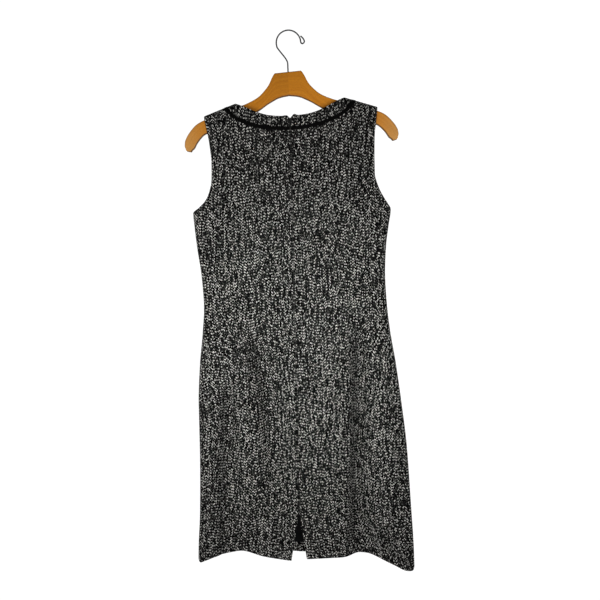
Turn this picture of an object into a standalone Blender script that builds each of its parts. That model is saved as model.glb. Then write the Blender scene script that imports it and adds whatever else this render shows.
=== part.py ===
"""A sleeveless sheath dress hanging on a flat wooden hanger.

Metres, +Z up. The origin is the inside of the hook's top, where a rail carries it.
-Y is the back of the dress, which has the centre-back zip and the kick slit, and
+X is the wearer's right. The dress hangs flat: a front and two back panels, joined
at the shoulders and the sides, open at the neck, the armholes, the hem and the slit.
"""

import math

import bmesh
import bpy
import numpy as np
from mathutils import Matrix, Vector

# ---------------------------------------------------------------- driving dimensions
WALL = 0.0020           # one thickness of the tweed panels
BAND_WALL = 0.0024      # the neck band is backed by its own facing
LINING_WALL = 0.0010
TRIM_WALL = 0.0012
TRIM_HALF_WIDE = 0.00375
SEAM_GAP = 0.0003       # between two pieces that are sewn together
LAY = 0.00045           # between a piece and what is laid on it

UNDERARM_Z = -0.366
WAIST_Z = -0.560
NECK_ROWS = 3           # of the band and of the trim, across their width
SLIT_TOP_Z = -1.0007    # top of the kick slit in the centre-back seam
SLIT_HEM_Z = -1.1100
SLIT_OPEN_LEFT = 0.0180
SLIT_OPEN_RIGHT = 0.0152
TURN_UP = 0.022         # the lining ends this far above the hem
LINING_CLEAR = 0.0014   # between the lining and the front
LINING_SHARE = 0.90     # of the front's half width
LINING_COLUMNS = 9
LINING_ROWS = 11

NECK_POINT_OUT = 0.1120     # where the neck edge meets the shoulder seam
NECK_POINT_Z = -0.1396
SHOULDER_SLOPE = 0.3373     # fall of the shoulder seam for each metre outwards
ARCH = 0.014                # height of the turn over the shoulder seam
TILT = math.radians(2.0)    # the hanger and the shoulders lean, right side up
TILT_FULL_Z = -0.200
NOTCH_DEEP = 0.0048         # nick in the neck edge at the zip
NOTCH_SHARE = 0.04

LENS_POWER = {"back": 4.0, "front": 2.2}    # how flat the middle of a panel lies
FOLD_EDGE_POWER = 6

# Half widths of the dress from the centre-back line, shoulder to hem.
OUTLINE = (
    # z, left, right
    (-0.150, 0.1785, 0.1812),
    (-0.162, 0.1778, 0.1805),
    (-0.190, 0.1728, 0.1775),
    (-0.220, 0.1680, 0.1738),
    (-0.260, 0.1650, 0.1728),
    (-0.295, 0.1660, 0.1732),
    (-0.320, 0.1712, 0.1805),
    (-0.340, 0.1805, 0.1908),
    (-0.355, 0.1950, 0.2005),
    (-0.366, 0.2068, 0.2058),
    (-0.400, 0.2045, 0.2010),
    (-0.440, 0.2008, 0.1955),
    (-0.500, 0.1935, 0.1925),
    (-0.560, 0.1908, 0.1952),
    (-0.620, 0.1955, 0.2014),
    (-0.690, 0.2036, 0.2125),
    (-0.770, 0.2083, 0.2227),
    (-0.870, 0.2087, 0.2333),
    (-1.000, 0.2118, 0.2400),
    (-1.080, 0.2170, 0.2438),
    (-1.133, 0.2188, 0.2448),
)

# How far each layer stands from the middle plane, and the shape of its side edge.
DEPTHS = (
    # z, back, front, edge_half_gap, edge_round
    (-0.135, 0.0155, 0.0150, 0.0086, 1.0),
    (-0.172, 0.0190, 0.0200, 0.0088, 1.0),
    (-0.200, 0.0197, 0.0240, 0.0092, 1.0),
    (-0.260, 0.0220, 0.0320, 0.0095, 1.0),
    (-0.310, 0.0240, 0.0375, 0.0085, 1.1),
    (-0.340, 0.0248, 0.0395, 0.0055, 1.4),
    (-0.366, 0.0250, 0.0400, 0.00015, 1.8),
    (-0.440, 0.0245, 0.0360, 0.00015, 2.0),
    (-0.560, 0.0220, 0.0240, 0.00015, 2.0),
    (-0.690, 0.0270, 0.0290, 0.00015, 2.0),
    (-0.870, 0.0300, 0.0300, 0.00015, 2.0),
    (-1.000, 0.0315, 0.0260, 0.00015, 2.0),
    (-1.133, 0.0320, 0.0210, 0.00015, 2.0),
)

# The side seams swing towards the back as they fall.
SIDE_SEAMS = (
    # z, left_y, right_y
    (-0.135, 0.000, 0.000),
    (-0.560, 0.000, 0.000),
    (-0.690, -0.003, -0.004),
    (-0.870, -0.010, -0.014),
    (-1.000, -0.018, -0.025),
    (-1.133, -0.025, -0.036),
)

# The hem's height across each half, from the centre (0) to the side seam (1).
HEM = (
    # share, left_z, right_z, front_left_z, front_right_z
    (0.00, -1.1115, -1.1080, -1.1100, -1.1100),
    (0.30, -1.1045, -1.1045, -1.1060, -1.1080),
    (0.56, -1.0920, -1.0995, -1.1010, -1.1060),
    (0.80, -1.0950, -1.1190, -1.1050, -1.1180),
    (0.93, -1.1045, -1.1315, -1.1065, -1.1290),
    (0.98, -1.1090, -1.1325, -1.1085, -1.1320),
    (1.00, -1.1040, -1.1260, -1.1040, -1.1260),
)

# Neck edge and neck seam, from the centre (0) to the shoulder seam (1).
NECK_SHARES = (0.0, 0.2, 0.4, 0.6, 0.8, 0.93, 1.0)
NECK = {
    "back": {
        "edge_z": (-0.1722, -0.1713, -0.1682, -0.1609, -0.1502, -0.1432, -0.1396),
        "seam_z": (-0.1980, -0.1965, -0.1930, -0.1855, -0.1740, -0.1605, -0.1465),
    },
    "front": {
        "edge_z": (-0.2280, -0.2255, -0.2180, -0.2035, -0.1800, -0.1560, -0.1396),
        "seam_z": (-0.2535, -0.2505, -0.2420, -0.2260, -0.2010, -0.1710, -0.1465),
    },
}
SEAM_POINT_OUT = 0.1325     # where the neck seam meets the shoulder seam

# Each fold runs from its top down to the hem. A positive depth pushes the cloth in.
FOLDS = (
    # panel, top_x, top_z, hem_x, top_half, hem_half, depth, lean
    ("back", 0.137, -0.560, 0.128, 0.014, 0.034, 0.022, 0.40),
    ("back", -0.148, -0.640, -0.120, 0.014, 0.050, 0.021, 0.35),
    ("back", 0.196, -0.900, 0.196, 0.012, 0.020, 0.004, 0.00),
    ("front", 0.105, -0.620, 0.118, 0.016, 0.052, -0.018, 0.00),
    ("front", -0.100, -0.600, -0.112, 0.016, 0.050, -0.016, 0.00),
    ("front", 0.020, -0.800, 0.030, 0.014, 0.034, 0.006, 0.00),
)
FOLD_FOOT_Z = -1.110

# A broad trough that crosses the left back panel from the waist towards the slit.
TROUGH_TOP_X = -0.088
TROUGH_TOP_Z = -0.540
TROUGH_FOOT_X = -0.026
TROUGH_FOOT_Z = -1.020
TROUGH_TOP_HALF = 0.034
TROUGH_FOOT_HALF = 0.052
TROUGH_DEEP = 0.020
TROUGH_LEAN = 0.30          # how much steeper its left flank is
TROUGH_RISE = 0.25          # share of its length that its top takes to reach full depth
TROUGH_FALL = 0.50          # share of its length that its foot takes to run out

# Columns across a half panel, shared by every piece that meets at the neck seam.
NECK_COLUMNS = {
    "back": (0.0, 0.04, 0.18, 0.34, 0.50, 0.64, 0.76, 0.86, 0.943, 0.965, 0.983, 0.9957, 1.0),
    "front": (0.0, 0.20, 0.40, 0.56, 0.70, 0.82, 0.91, 0.965, 0.978, 0.9895, 0.9973, 1.0),
}
SHOULDER_COLUMNS = (0.45, 0.82, 1.0)
SLIT_ROWS = (0.0, 0.037, 0.074, 0.111, 0.148)
SKIRT_ROWS = 13
CHEST_ROWS = 6
ARCH_ROWS = 4

# Hanger: one wooden half, as upper and lower edge points from the head's top centre.
HANGER_THICK = 0.012
HANGER_EDGE = 0.0025
HANGER_X = -0.0024
HANGER_Z = -0.0836
HANGER_ARM = (
    # upper_out, upper_drop, lower_out, lower_drop
    (0.0000, 0.0000, 0.0000, 0.0450),
    (0.0130, 0.0000, 0.0150, 0.0470),
    (0.0262, 0.0000, 0.0255, 0.0500),
    (0.0292, 0.0022, 0.0310, 0.0525),
    (0.0335, 0.0085, 0.0380, 0.0558),
    (0.0411, 0.0226, 0.0462, 0.0600),
    (0.0513, 0.0346, 0.0570, 0.0668),
    (0.0616, 0.0443, 0.0680, 0.0735),
    (0.0730, 0.0510, 0.0790, 0.0795),
    (0.0880, 0.0576, 0.0914, 0.0858),
    (0.1400, 0.0745, 0.1380, 0.1050),
    (0.1853, 0.0895, 0.1790, 0.1210),
    (0.1957, 0.0955, 0.1875, 0.1275),
    (0.2065, 0.1060, 0.1950, 0.1350),
    (0.2165, 0.1195, 0.2020, 0.1425),
    (0.2205, 0.1290, 0.2060, 0.1470),
    (0.2214, 0.1370, 0.2105, 0.1495),
    (0.2195, 0.1435, 0.2150, 0.1485),
)
HANGER_STEPS = 3
CORNER_STEPS = 3

# Hook: a steel wire bent to a ring that stays open, with its tip curled back.
WIRE = 0.0030
HOOK_RADIUS = 0.0250
HOOK_STEM = (
    # x, z
    (-0.0022, -0.0830),
    (-0.0024, -0.0720),
    (-0.0031, -0.0620),
    (-0.0080, -0.0530),
    (-0.0162, -0.0425),
)
HOOK_ARC_START = math.radians(203.0)
HOOK_ARC_END = math.radians(4.0)
HOOK_ARC_STEPS = 24
HOOK_CURL = (
    # x, z
    (0.0256, -0.0240),
    (0.0284, -0.0259),
    (0.0314, -0.0242),
    (0.0325, -0.0207),
    (0.0301, -0.0157),
    (0.0258, -0.0112),
)

# Zip: tape inside the centre-back seam, a slider at its top and a pull tab.
ZIP_TAPE_HALF = 0.012
ZIP_TAPE_TOP_Z = -0.179
ZIP_TAPE_LONG = 0.550
ZIP_TAPE_WALL = 0.0008
ZIP_TAPE_ROWS = 16
SLIDER_WIDE = 0.0060
SLIDER_TALL = 0.0090
SLIDER_THICK = 0.0016
SLIDER_Z = -0.1815
BRIDGE_HALF_TALL = 0.0023
BRIDGE_INNER_HALF = 0.0015
BRIDGE_OUTER = 0.0030
BRIDGE_INNER = 0.0022
BRIDGE_WIDE = 0.0016
BRIDGE_CORNER = 0.0006
BRIDGE_ROOT = 0.0004        # how far its feet stand in the plate
SLIDER_CHAMFER = 0.0004
PULL_AXIS_OFF = 0.0013
PULL_LONG = 0.0160
PULL_HALF_WIDE = 0.0025
PULL_HEAD_HALF_WIDE = 0.0019
PULL_THICK = 0.0008
PULL_BAR_HALF = 0.0005
PULL_WINDOW_FOOT = 0.0033
PULL_WINDOW_HALF = 0.0012
PULL_NECK = 0.0050          # below the hinge, where the tab reaches its full width
PULL_CORNER_WIDE = 0.0010
PULL_CORNER_TALL = 0.0015

COLOURS = {
    "tweed": ((0.060, 0.060, 0.057, 1.0), 0.90, 0.0),
    "trim": ((0.012, 0.012, 0.012, 1.0), 0.70, 0.0),
    "lining": ((0.010, 0.010, 0.011, 1.0), 0.50, 0.0),
    "tape": ((0.010, 0.010, 0.010, 1.0), 0.80, 0.0),
    "wood": ((0.420, 0.180, 0.045, 1.0), 0.45, 0.0),
    "steel": ((0.220, 0.220, 0.230, 1.0), 0.30, 1.0),
    "black_metal": ((0.020, 0.020, 0.022, 1.0), 0.35, 1.0),
}


# ---------------------------------------------------------------- small helpers
def column(table, index):
    """One named column of a table, as an array."""
    return np.array([row[index] for row in table], dtype=float)


def smooth(x, knots, values):
    """Smooth curve through a table, which never rises or falls past its rows."""
    knots = np.asarray(knots, dtype=float)
    values = np.asarray(values, dtype=float)
    if knots[0] > knots[-1]:
        knots = knots[::-1]
        values = values[::-1]
    step = np.diff(knots)
    slope = np.diff(values) / step
    tangent = np.zeros_like(values)
    same_way = slope[:-1] * slope[1:] > 0.0
    before = np.where(same_way, slope[:-1], 1.0)
    after = np.where(same_way, slope[1:], 1.0)
    tangent[1:-1] = np.where(same_way, 2.0 * before * after / (before + after), 0.0)
    tangent[0] = slope[0]
    tangent[-1] = slope[-1]
    x = np.clip(np.asarray(x, dtype=float), knots[0], knots[-1])
    at = np.clip(np.searchsorted(knots, x, side="right") - 1, 0, len(step) - 1)
    width = step[at]
    t = (x - knots[at]) / width
    rise = 3.0 * t**2 - 2.0 * t**3
    bend_in = (t**3 - 2.0 * t**2 + t) * width * tangent[at]
    bend_out = (t**3 - t**2) * width * tangent[at + 1]
    return values[at] * (1.0 - rise) + values[at + 1] * rise + bend_in + bend_out


def smoothstep(x, low, high):
    """0 below low, 1 above high, with an S between."""
    t = np.clip((x - low) / (high - low), 0.0, 1.0)
    return t * t * (3.0 - 2.0 * t)


# ---------------------------------------------------------------- the cloth's shape
def half_width(side, z):
    """Distance from the centre line to the side edge, left (-1) or right (+1)."""
    return smooth(z, column(OUTLINE, 0), column(OUTLINE, 1 if side < 0 else 2))


def shoulder_z(x, inset):
    """Height of the shoulder seam, lowered by the inset on the inner faces."""
    return NECK_POINT_Z - SHOULDER_SLOPE * (np.abs(x) - NECK_POINT_OUT) - inset


def slit_edge(panel, side, z):
    """Where the centre edge of a half panel lies: a seam, and an open slit below."""
    if panel == "front":
        return np.zeros_like(z)
    wide = SLIT_OPEN_LEFT if side < 0 else SLIT_OPEN_RIGHT
    return SEAM_GAP / 2 + wide * np.clip((SLIT_TOP_Z - z) / (SLIT_TOP_Z - SLIT_HEM_Z), 0.0, 1.2)


def bell(offset, half, lean):
    """A bell across a fold, 1 at its middle; a lean makes its left flank steeper."""
    own_half = half * (1.0 + lean * np.sign(offset))
    return np.exp(-((offset / own_half) ** 2))


def trough_depth(x, z):
    """Depth of the trough: a bell across its line, fading out at both ends."""
    run_x = TROUGH_FOOT_X - TROUGH_TOP_X
    run_z = TROUGH_FOOT_Z - TROUGH_TOP_Z
    long = math.hypot(run_x, run_z)
    along = ((x - TROUGH_TOP_X) * run_x + (z - TROUGH_TOP_Z) * run_z) / long**2
    offset = ((z - TROUGH_TOP_Z) * run_x - (x - TROUGH_TOP_X) * run_z) / long
    inside = np.clip(along, 0.0, 1.0)
    half = TROUGH_TOP_HALF + (TROUGH_FOOT_HALF - TROUGH_TOP_HALF) * inside
    ends = smoothstep(along, 0.0, TROUGH_RISE) * (1.0 - smoothstep(along, 1.0 - TROUGH_FALL, 1.0))
    return TROUGH_DEEP * ends * bell(offset, half, TROUGH_LEAN)


def fold_depth(panel, x, z):
    """Sum of the panel's folds at a point, growing from each fold's top to the hem."""
    total = trough_depth(x, z) if panel == "back" else np.zeros_like(x)
    for fold_panel, top_x, top_z, hem_x, top_half, hem_half, depth, lean in FOLDS:
        if fold_panel != panel:
            continue
        along = np.clip((top_z - z) / (top_z - FOLD_FOOT_Z), 0.0, 1.1)
        middle = top_x + (hem_x - top_x) * along
        half = top_half + (hem_half - top_half) * along
        total = total + depth * smoothstep(along, 0.0, 1.0) * bell(x - middle, half, lean)
    return total


def cloth_y(panel, side, x, z, inset):
    """Depth of the panel at (x, z). The inset moves the face towards the hollow."""
    share = np.clip(np.abs(x) / (half_width(side, z) - inset), 0.0, 1.0)
    z_knots = column(DEPTHS, 0)
    middle = smooth(z, z_knots, column(DEPTHS, 1 if panel == "back" else 2)) - inset
    gap = smooth(z, z_knots, column(DEPTHS, 3))
    gap = np.maximum(gap - inset * (z > UNDERARM_Z), SEAM_GAP / 2)
    edge_round = smooth(z, z_knots, column(DEPTHS, 4))
    bulge = np.maximum(1.0 - share ** LENS_POWER[panel], 0.0) ** (1.0 / edge_round)
    stand = gap + (middle - gap) * bulge
    below = np.clip((shoulder_z(x, inset) - z) / ARCH, 0.0, 1.0)
    roof = np.sqrt(np.maximum(1.0 - (1.0 - below) ** 2, 0.0))
    stand = SEAM_GAP / 2 + (stand - SEAM_GAP / 2) * roof
    out = -1.0 if panel == "back" else 1.0
    seam_y = smooth(z, column(SIDE_SEAMS, 0), column(SIDE_SEAMS, 1 if side < 0 else 2))
    folds = fold_depth(panel, x, z) * (1.0 - share**FOLD_EDGE_POWER)
    return out * stand + seam_y * share**2 - out * folds


def hang(x, y, z):
    """Points of the cloth, with the lean that fades out down to the underarms."""
    lean = math.tan(TILT) * x * smoothstep(z, UNDERARM_Z, TILT_FULL_Z)
    return np.stack(np.broadcast_arrays(x, y, z + lean), axis=-1)


def neck_line(panel, share, line, inset):
    """Out and z of the neck edge or the neck seam at a share of the way out."""
    out = (NECK_POINT_OUT if line == "edge" else SEAM_POINT_OUT) * share
    z = smooth(share, NECK_SHARES, NECK[panel][line + "_z"]) - inset * share**6
    if line == "edge" and panel == "back":
        z = z - NOTCH_DEEP * np.clip(1.0 - share / NOTCH_SHARE, 0.0, 1.0)
    return out, z


def neck_strip(panel, share, across, inset):
    """Points beside the neck seam: across is metres from the seam, towards the edge."""
    seam_out, seam_z = neck_line(panel, share, "seam", inset)
    edge_out, edge_z = neck_line(panel, share, "edge", inset)
    long = np.hypot(edge_out - seam_out, edge_z - seam_z)
    out = seam_out + (edge_out - seam_out) / long * across
    z = seam_z + (edge_z - seam_z) / long * across
    return out, z, long


def panel_columns(panel, side, inset):
    """Share of the width, and top z, of each column of a half panel."""
    share = np.array(NECK_COLUMNS[panel])
    out, top, _ = neck_strip(panel, share, -SEAM_GAP / 2, inset)
    tip = half_width(side, shoulder_z(half_width(side, -0.162), inset)) - inset
    shoulder_out = out[-1] + (tip - out[-1]) * np.array(SHOULDER_COLUMNS)
    out = np.concatenate([out, shoulder_out])
    top = np.concatenate([top, shoulder_z(shoulder_out, inset)])
    start = slit_edge(panel, side, top)
    out = np.maximum(out, start)
    part = (out - start) / (half_width(side, top) - inset - start)
    part[-1] = 1.0
    return part, top


def panel_grid(panel, side, inset):
    """Grid of points on one face of a half panel: rows from the hem to the top."""
    part, top = panel_columns(panel, side, inset)
    hem_column = {"back": 1, "front": 3}[panel] + (0 if side < 0 else 1)
    hem = smooth(part, column(HEM, 0), column(HEM, hem_column))
    skirt = np.concatenate([SLIT_ROWS, np.linspace(SLIT_ROWS[-1], 1.0, SKIRT_ROWS + 1)[1:]])
    low = hem + (UNDERARM_Z - hem) * skirt[:, None]
    chest = np.arange(1, CHEST_ROWS + 1)[:, None] / CHEST_ROWS
    mid = UNDERARM_Z + (top - ARCH - UNDERARM_Z) * chest
    turn = np.radians(90.0) * np.arange(1, ARCH_ROWS + 1)[:, None] / ARCH_ROWS
    high = top - ARCH * (1.0 - np.sin(turn))
    z = np.concatenate([low, mid, high])
    start = slit_edge(panel, side, z)
    x = side * (start + part * (half_width(side, z) - inset - start))
    return hang(x, cloth_y(panel, side, x, z, inset), z)


def whole_front(grid_of_side):
    """Joins a left and a right half grid, which share their centre column."""
    left = grid_of_side(-1)[:, ::-1]
    right = grid_of_side(1)
    return np.concatenate([left, right[:, 1:]], axis=1)


def strip_grid(panel, side, low, high, rows, inset):
    """Grid of a strip along the neck seam, from low to high metres across it.

    high None runs to the neck edge.
    """
    share = np.array(NECK_COLUMNS[panel])[None, :]
    _, _, long = neck_strip(panel, share, 0.0, inset)
    end = long if high is None else high
    across = low + (end - low) * np.linspace(0.0, 1.0, rows + 1)[:, None]
    out, z, _ = neck_strip(panel, share, across, inset)
    x = side * np.maximum(out, slit_edge(panel, side, z))
    return hang(x, cloth_y(panel, side, x, z, inset), z)


def lining_grid(side, inset):
    """Grid of the front lining, inside the front from the waist to above the hem."""
    part = np.linspace(0.0, LINING_SHARE, LINING_COLUMNS)
    hem = smooth(part, column(HEM, 0), column(HEM, 3 if side < 0 else 4)) + TURN_UP
    z = hem + (WAIST_Z - hem) * np.linspace(0.0, 1.0, LINING_ROWS)[:, None]
    x = side * part * half_width(side, z)
    return hang(x, cloth_y("front", side, x, z, inset), z)


def tape_grid(inset):
    """Grid of the zip tape, behind the centre-back seam."""
    x = np.array([-1.0, 0.0, 1.0])[None, :] * ZIP_TAPE_HALF
    z = np.linspace(ZIP_TAPE_TOP_Z - ZIP_TAPE_LONG, ZIP_TAPE_TOP_Z, ZIP_TAPE_ROWS)[:, None]
    x, z = np.broadcast_arrays(x, z)
    return hang(x, cloth_y("back", 1, x, z, inset), z)


# ---------------------------------------------------------------- making objects
def make_material(name, kind):
    colour, rough, metal = COLOURS[kind]
    material = bpy.data.materials.new(name)
    material.use_nodes = True
    shader = material.node_tree.nodes["Principled BSDF"]
    shader.inputs["Base Color"].default_value = colour
    shader.inputs["Roughness"].default_value = rough
    shader.inputs["Metallic"].default_value = metal
    return material


def add_object(name, mesh, kind):
    made = bpy.data.objects.new(name, mesh)
    made.data.materials.append(make_material(name, kind))
    bpy.context.collection.objects.link(made)
    return made


def mesh_from(name, points, faces):
    mesh = bpy.data.meshes.new(name)
    mesh.from_pydata([tuple(p) for p in points], [], faces)
    work = bmesh.new()
    work.from_mesh(mesh)
    bmesh.ops.recalc_face_normals(work, faces=work.faces)
    work.to_mesh(mesh)
    work.free()
    mesh.shade_smooth()
    mesh.set_sharp_from_angle(angle=math.radians(40.0))
    return mesh


def cloth_wall(name, outer, inner, kind):
    """A closed wall between an outer and an inner grid of the same size."""
    rows, columns = outer.shape[:2]
    count = rows * columns
    points = np.concatenate([outer.reshape(-1, 3), inner.reshape(-1, 3)])
    faces = []
    for row in range(rows - 1):
        for col in range(columns - 1):
            a = row * columns + col
            quad = (a, a + 1, a + columns + 1, a + columns)
            faces.append(quad)
            faces.append(tuple(count + k for k in reversed(quad)))
    rim = [col for col in range(columns)]
    rim += [row * columns + columns - 1 for row in range(1, rows)]
    rim += [(rows - 1) * columns + col for col in range(columns - 2, -1, -1)]
    rim += [row * columns for row in range(rows - 2, 0, -1)]
    for here, there in zip(rim, rim[1:] + rim[:1]):
        faces.append((here, here + count, there + count, there))
    return add_object(name, mesh_from(name, points, faces), kind)


def make_panels():
    for side, name in ((-1, "back_left"), (1, "back_right")):
        cloth_wall(name, panel_grid("back", side, 0.0), panel_grid("back", side, WALL), "tweed")
    outer = whole_front(lambda side: panel_grid("front", side, 0.0))
    inner = whole_front(lambda side: panel_grid("front", side, WALL))
    cloth_wall("front", outer, inner, "tweed")


def make_neck(name, low, high, rows, near, far, kind):
    """A piece along the neck seam: two back halves and one whole front."""
    for side, end in ((-1, "back_left"), (1, "back_right")):
        faces = [strip_grid("back", side, low, high, rows, inset) for inset in (near, far)]
        cloth_wall(name + "_" + end, faces[0], faces[1], kind)
    faces = [
        whole_front(lambda side, inset=inset: strip_grid("front", side, low, high, rows, inset))
        for inset in (near, far)
    ]
    cloth_wall(name + "_front", faces[0], faces[1], kind)


def make_lining():
    near = WALL + LINING_CLEAR
    outer = whole_front(lambda side: lining_grid(side, near))
    inner = whole_front(lambda side: lining_grid(side, near + LINING_WALL))
    cloth_wall("front_lining", outer, inner, "lining")


def make_zip_tape():
    near = BAND_WALL + LAY
    cloth_wall("zip_tape", tape_grid(near), tape_grid(near + ZIP_TAPE_WALL), "tape")


def hanger_section(upper, lower, side):
    """Ring of a rounded rectangle between an upper and a lower edge point."""
    middle = (upper + lower) / 2
    along = (upper - lower) / 2
    half = np.linalg.norm(along)
    along = along / half
    edge = min(HANGER_EDGE, 0.9 * half)
    ring = []
    for corner in range(4):
        up = 1.0 if corner in (0, 1) else -1.0
        deep = 1.0 if corner in (0, 3) else -1.0
        for step in range(CORNER_STEPS + 1):
            angle = math.radians(90.0 * (corner + step / CORNER_STEPS))
            rise = up * (half - edge) + edge * math.sin(angle)
            depth = deep * (HANGER_THICK / 2 - edge) + edge * math.cos(angle)
            out, drop = middle + along * rise
            ring.append((side * out, depth, -drop))
    return ring


def make_hanger_half(name, side):
    rows = np.array(HANGER_ARM)
    knots = np.arange(len(rows))
    fine = np.linspace(0, len(rows) - 1, HANGER_STEPS * (len(rows) - 1) + 1)
    sections = np.stack([smooth(fine, knots, rows[:, k]) for k in range(4)], axis=1)
    sections[0, 0] = SEAM_GAP / 2
    sections[0, 2] = SEAM_GAP / 2
    points = []
    for section in sections:
        points += hanger_section(section[:2], section[2:], side)
    size = 4 * (CORNER_STEPS + 1)
    faces = [tuple(range(size)), tuple(range(len(points) - size, len(points)))]
    for ring in range(len(sections) - 1):
        for k in range(size):
            a = ring * size + k
            b = ring * size + (k + 1) % size
            faces.append((a, b, b + size, a + size))
    made = add_object(name, mesh_from(name, points, faces), "wood")
    made.location = (HANGER_X, 0.0, HANGER_Z)
    made.rotation_euler = (0.0, -TILT, 0.0)
    return made


def bend_through(points, steps):
    """Smooth curve through points (Catmull-Rom), as a list without the last point."""
    pts = [Vector(points[0]) * 2 - Vector(points[1])] + [Vector(p) for p in points]
    pts.append(pts[-1] * 2 - pts[-2])
    line = []
    for k in range(1, len(pts) - 2):
        for step in range(steps):
            t = step / steps
            line.append(
                0.5 * (
                    2 * pts[k]
                    + (pts[k + 1] - pts[k - 1]) * t
                    + (2 * pts[k - 1] - 5 * pts[k] + 4 * pts[k + 1] - pts[k + 2]) * t**2
                    + (3 * pts[k] - pts[k - 1] - 3 * pts[k + 1] + pts[k + 2]) * t**3
                )
            )
    return line


def make_hook():
    centre_z = WIRE / 2 - HOOK_RADIUS
    arc = []
    for step in range(HOOK_ARC_STEPS + 1):
        angle = HOOK_ARC_START + (HOOK_ARC_END - HOOK_ARC_START) * step / HOOK_ARC_STEPS
        out = HOOK_RADIUS * math.cos(angle)
        arc.append((out, 0.0, centre_z + HOOK_RADIUS * math.sin(angle)))
    stem = [(x, 0.0, z) for x, z in HOOK_STEM]
    curl = [(x, 0.0, z) for x, z in HOOK_CURL]
    line = bend_through(stem + [arc[0]], 4) + arc[:-1] + bend_through([arc[-1]] + curl, 3)
    line.append(Vector(curl[-1]))
    curve = bpy.data.curves.new("hanger_hook", "CURVE")
    curve.dimensions = "3D"
    curve.bevel_depth = WIRE / 2
    curve.bevel_resolution = 3
    curve.use_fill_caps = True
    spline = curve.splines.new("POLY")
    spline.points.add(len(line) - 1)
    for point, place in zip(spline.points, line):
        point.co = (*place, 1.0)
    return add_object("hanger_hook", curve, "steel")


def extruded(name, outline, width, kind):
    """A solid of a (y, z) outline, extruded along X to a width about the middle."""
    work = bmesh.new()
    flat = [work.verts.new((-width / 2, y, z)) for y, z in outline]
    face = work.faces.new(flat)
    grown = bmesh.ops.extrude_face_region(work, geom=[face])
    moved = [v for v in grown["geom"] if isinstance(v, bmesh.types.BMVert)]
    bmesh.ops.translate(work, verts=moved, vec=(width, 0.0, 0.0))
    bmesh.ops.recalc_face_normals(work, faces=work.faces)
    mesh = bpy.data.meshes.new(name)
    work.to_mesh(mesh)
    work.free()
    return add_object(name, mesh, kind)


def make_cutter(name, size, place):
    """A box that is only there to be cut away."""
    work = bmesh.new()
    bmesh.ops.create_cube(work, size=1.0, matrix=Matrix.Diagonal((*size, 1.0)))
    mesh = bpy.data.meshes.new(name)
    work.to_mesh(mesh)
    work.free()
    box = bpy.data.objects.new(name, mesh)
    bpy.context.collection.objects.link(box)
    box.location = place
    box.hide_render = True
    box.display_type = "WIRE"
    return box


def add_boolean(target, operation, tool):
    cut = target.modifiers.new(operation.lower(), "BOOLEAN")
    cut.operation = operation
    cut.object = tool


def slider_face_y():
    """The outer face of the slider, which lies on the neck band at the centre back."""
    low = SLIDER_Z - SLIDER_TALL / 2
    cloth = cloth_y("back", 1, np.array(0.0), np.array(low), 0.0)
    return float(cloth) - LAY - SLIDER_THICK


def make_zip_slider():
    """Plate with a bridge that stands off its face and holds the pull's bar."""
    face_y = slider_face_y()
    half = SLIDER_TALL / 2
    plate_back = SLIDER_THICK
    plate = (
        (SLIDER_CHAMFER, -half),
        (0.0, -half + SLIDER_CHAMFER),
        (0.0, half - SLIDER_CHAMFER),
        (SLIDER_CHAMFER, half),
        (plate_back, half),
        (plate_back, -half),
    )
    slider = extruded("zip_slider", plate, SLIDER_WIDE, "black_metal")
    slider.location = (0.0, face_y, SLIDER_Z)
    bridge = (
        (BRIDGE_ROOT, -BRIDGE_HALF_TALL),
        (-BRIDGE_OUTER + BRIDGE_CORNER, -BRIDGE_HALF_TALL),
        (-BRIDGE_OUTER, -BRIDGE_HALF_TALL + BRIDGE_CORNER),
        (-BRIDGE_OUTER, BRIDGE_HALF_TALL - BRIDGE_CORNER),
        (-BRIDGE_OUTER + BRIDGE_CORNER, BRIDGE_HALF_TALL),
        (BRIDGE_ROOT, BRIDGE_HALF_TALL),
        (BRIDGE_ROOT, BRIDGE_INNER_HALF),
        (-BRIDGE_INNER, BRIDGE_INNER_HALF),
        (-BRIDGE_INNER, -BRIDGE_INNER_HALF),
        (BRIDGE_ROOT, -BRIDGE_INNER_HALF),
    )
    arch = extruded("slider_bridge_shape", bridge, BRIDGE_WIDE, "black_metal")
    arch.location = slider.location
    arch.hide_render = True
    arch.display_type = "WIRE"
    add_boolean(slider, "UNION", arch)
    return slider


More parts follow.
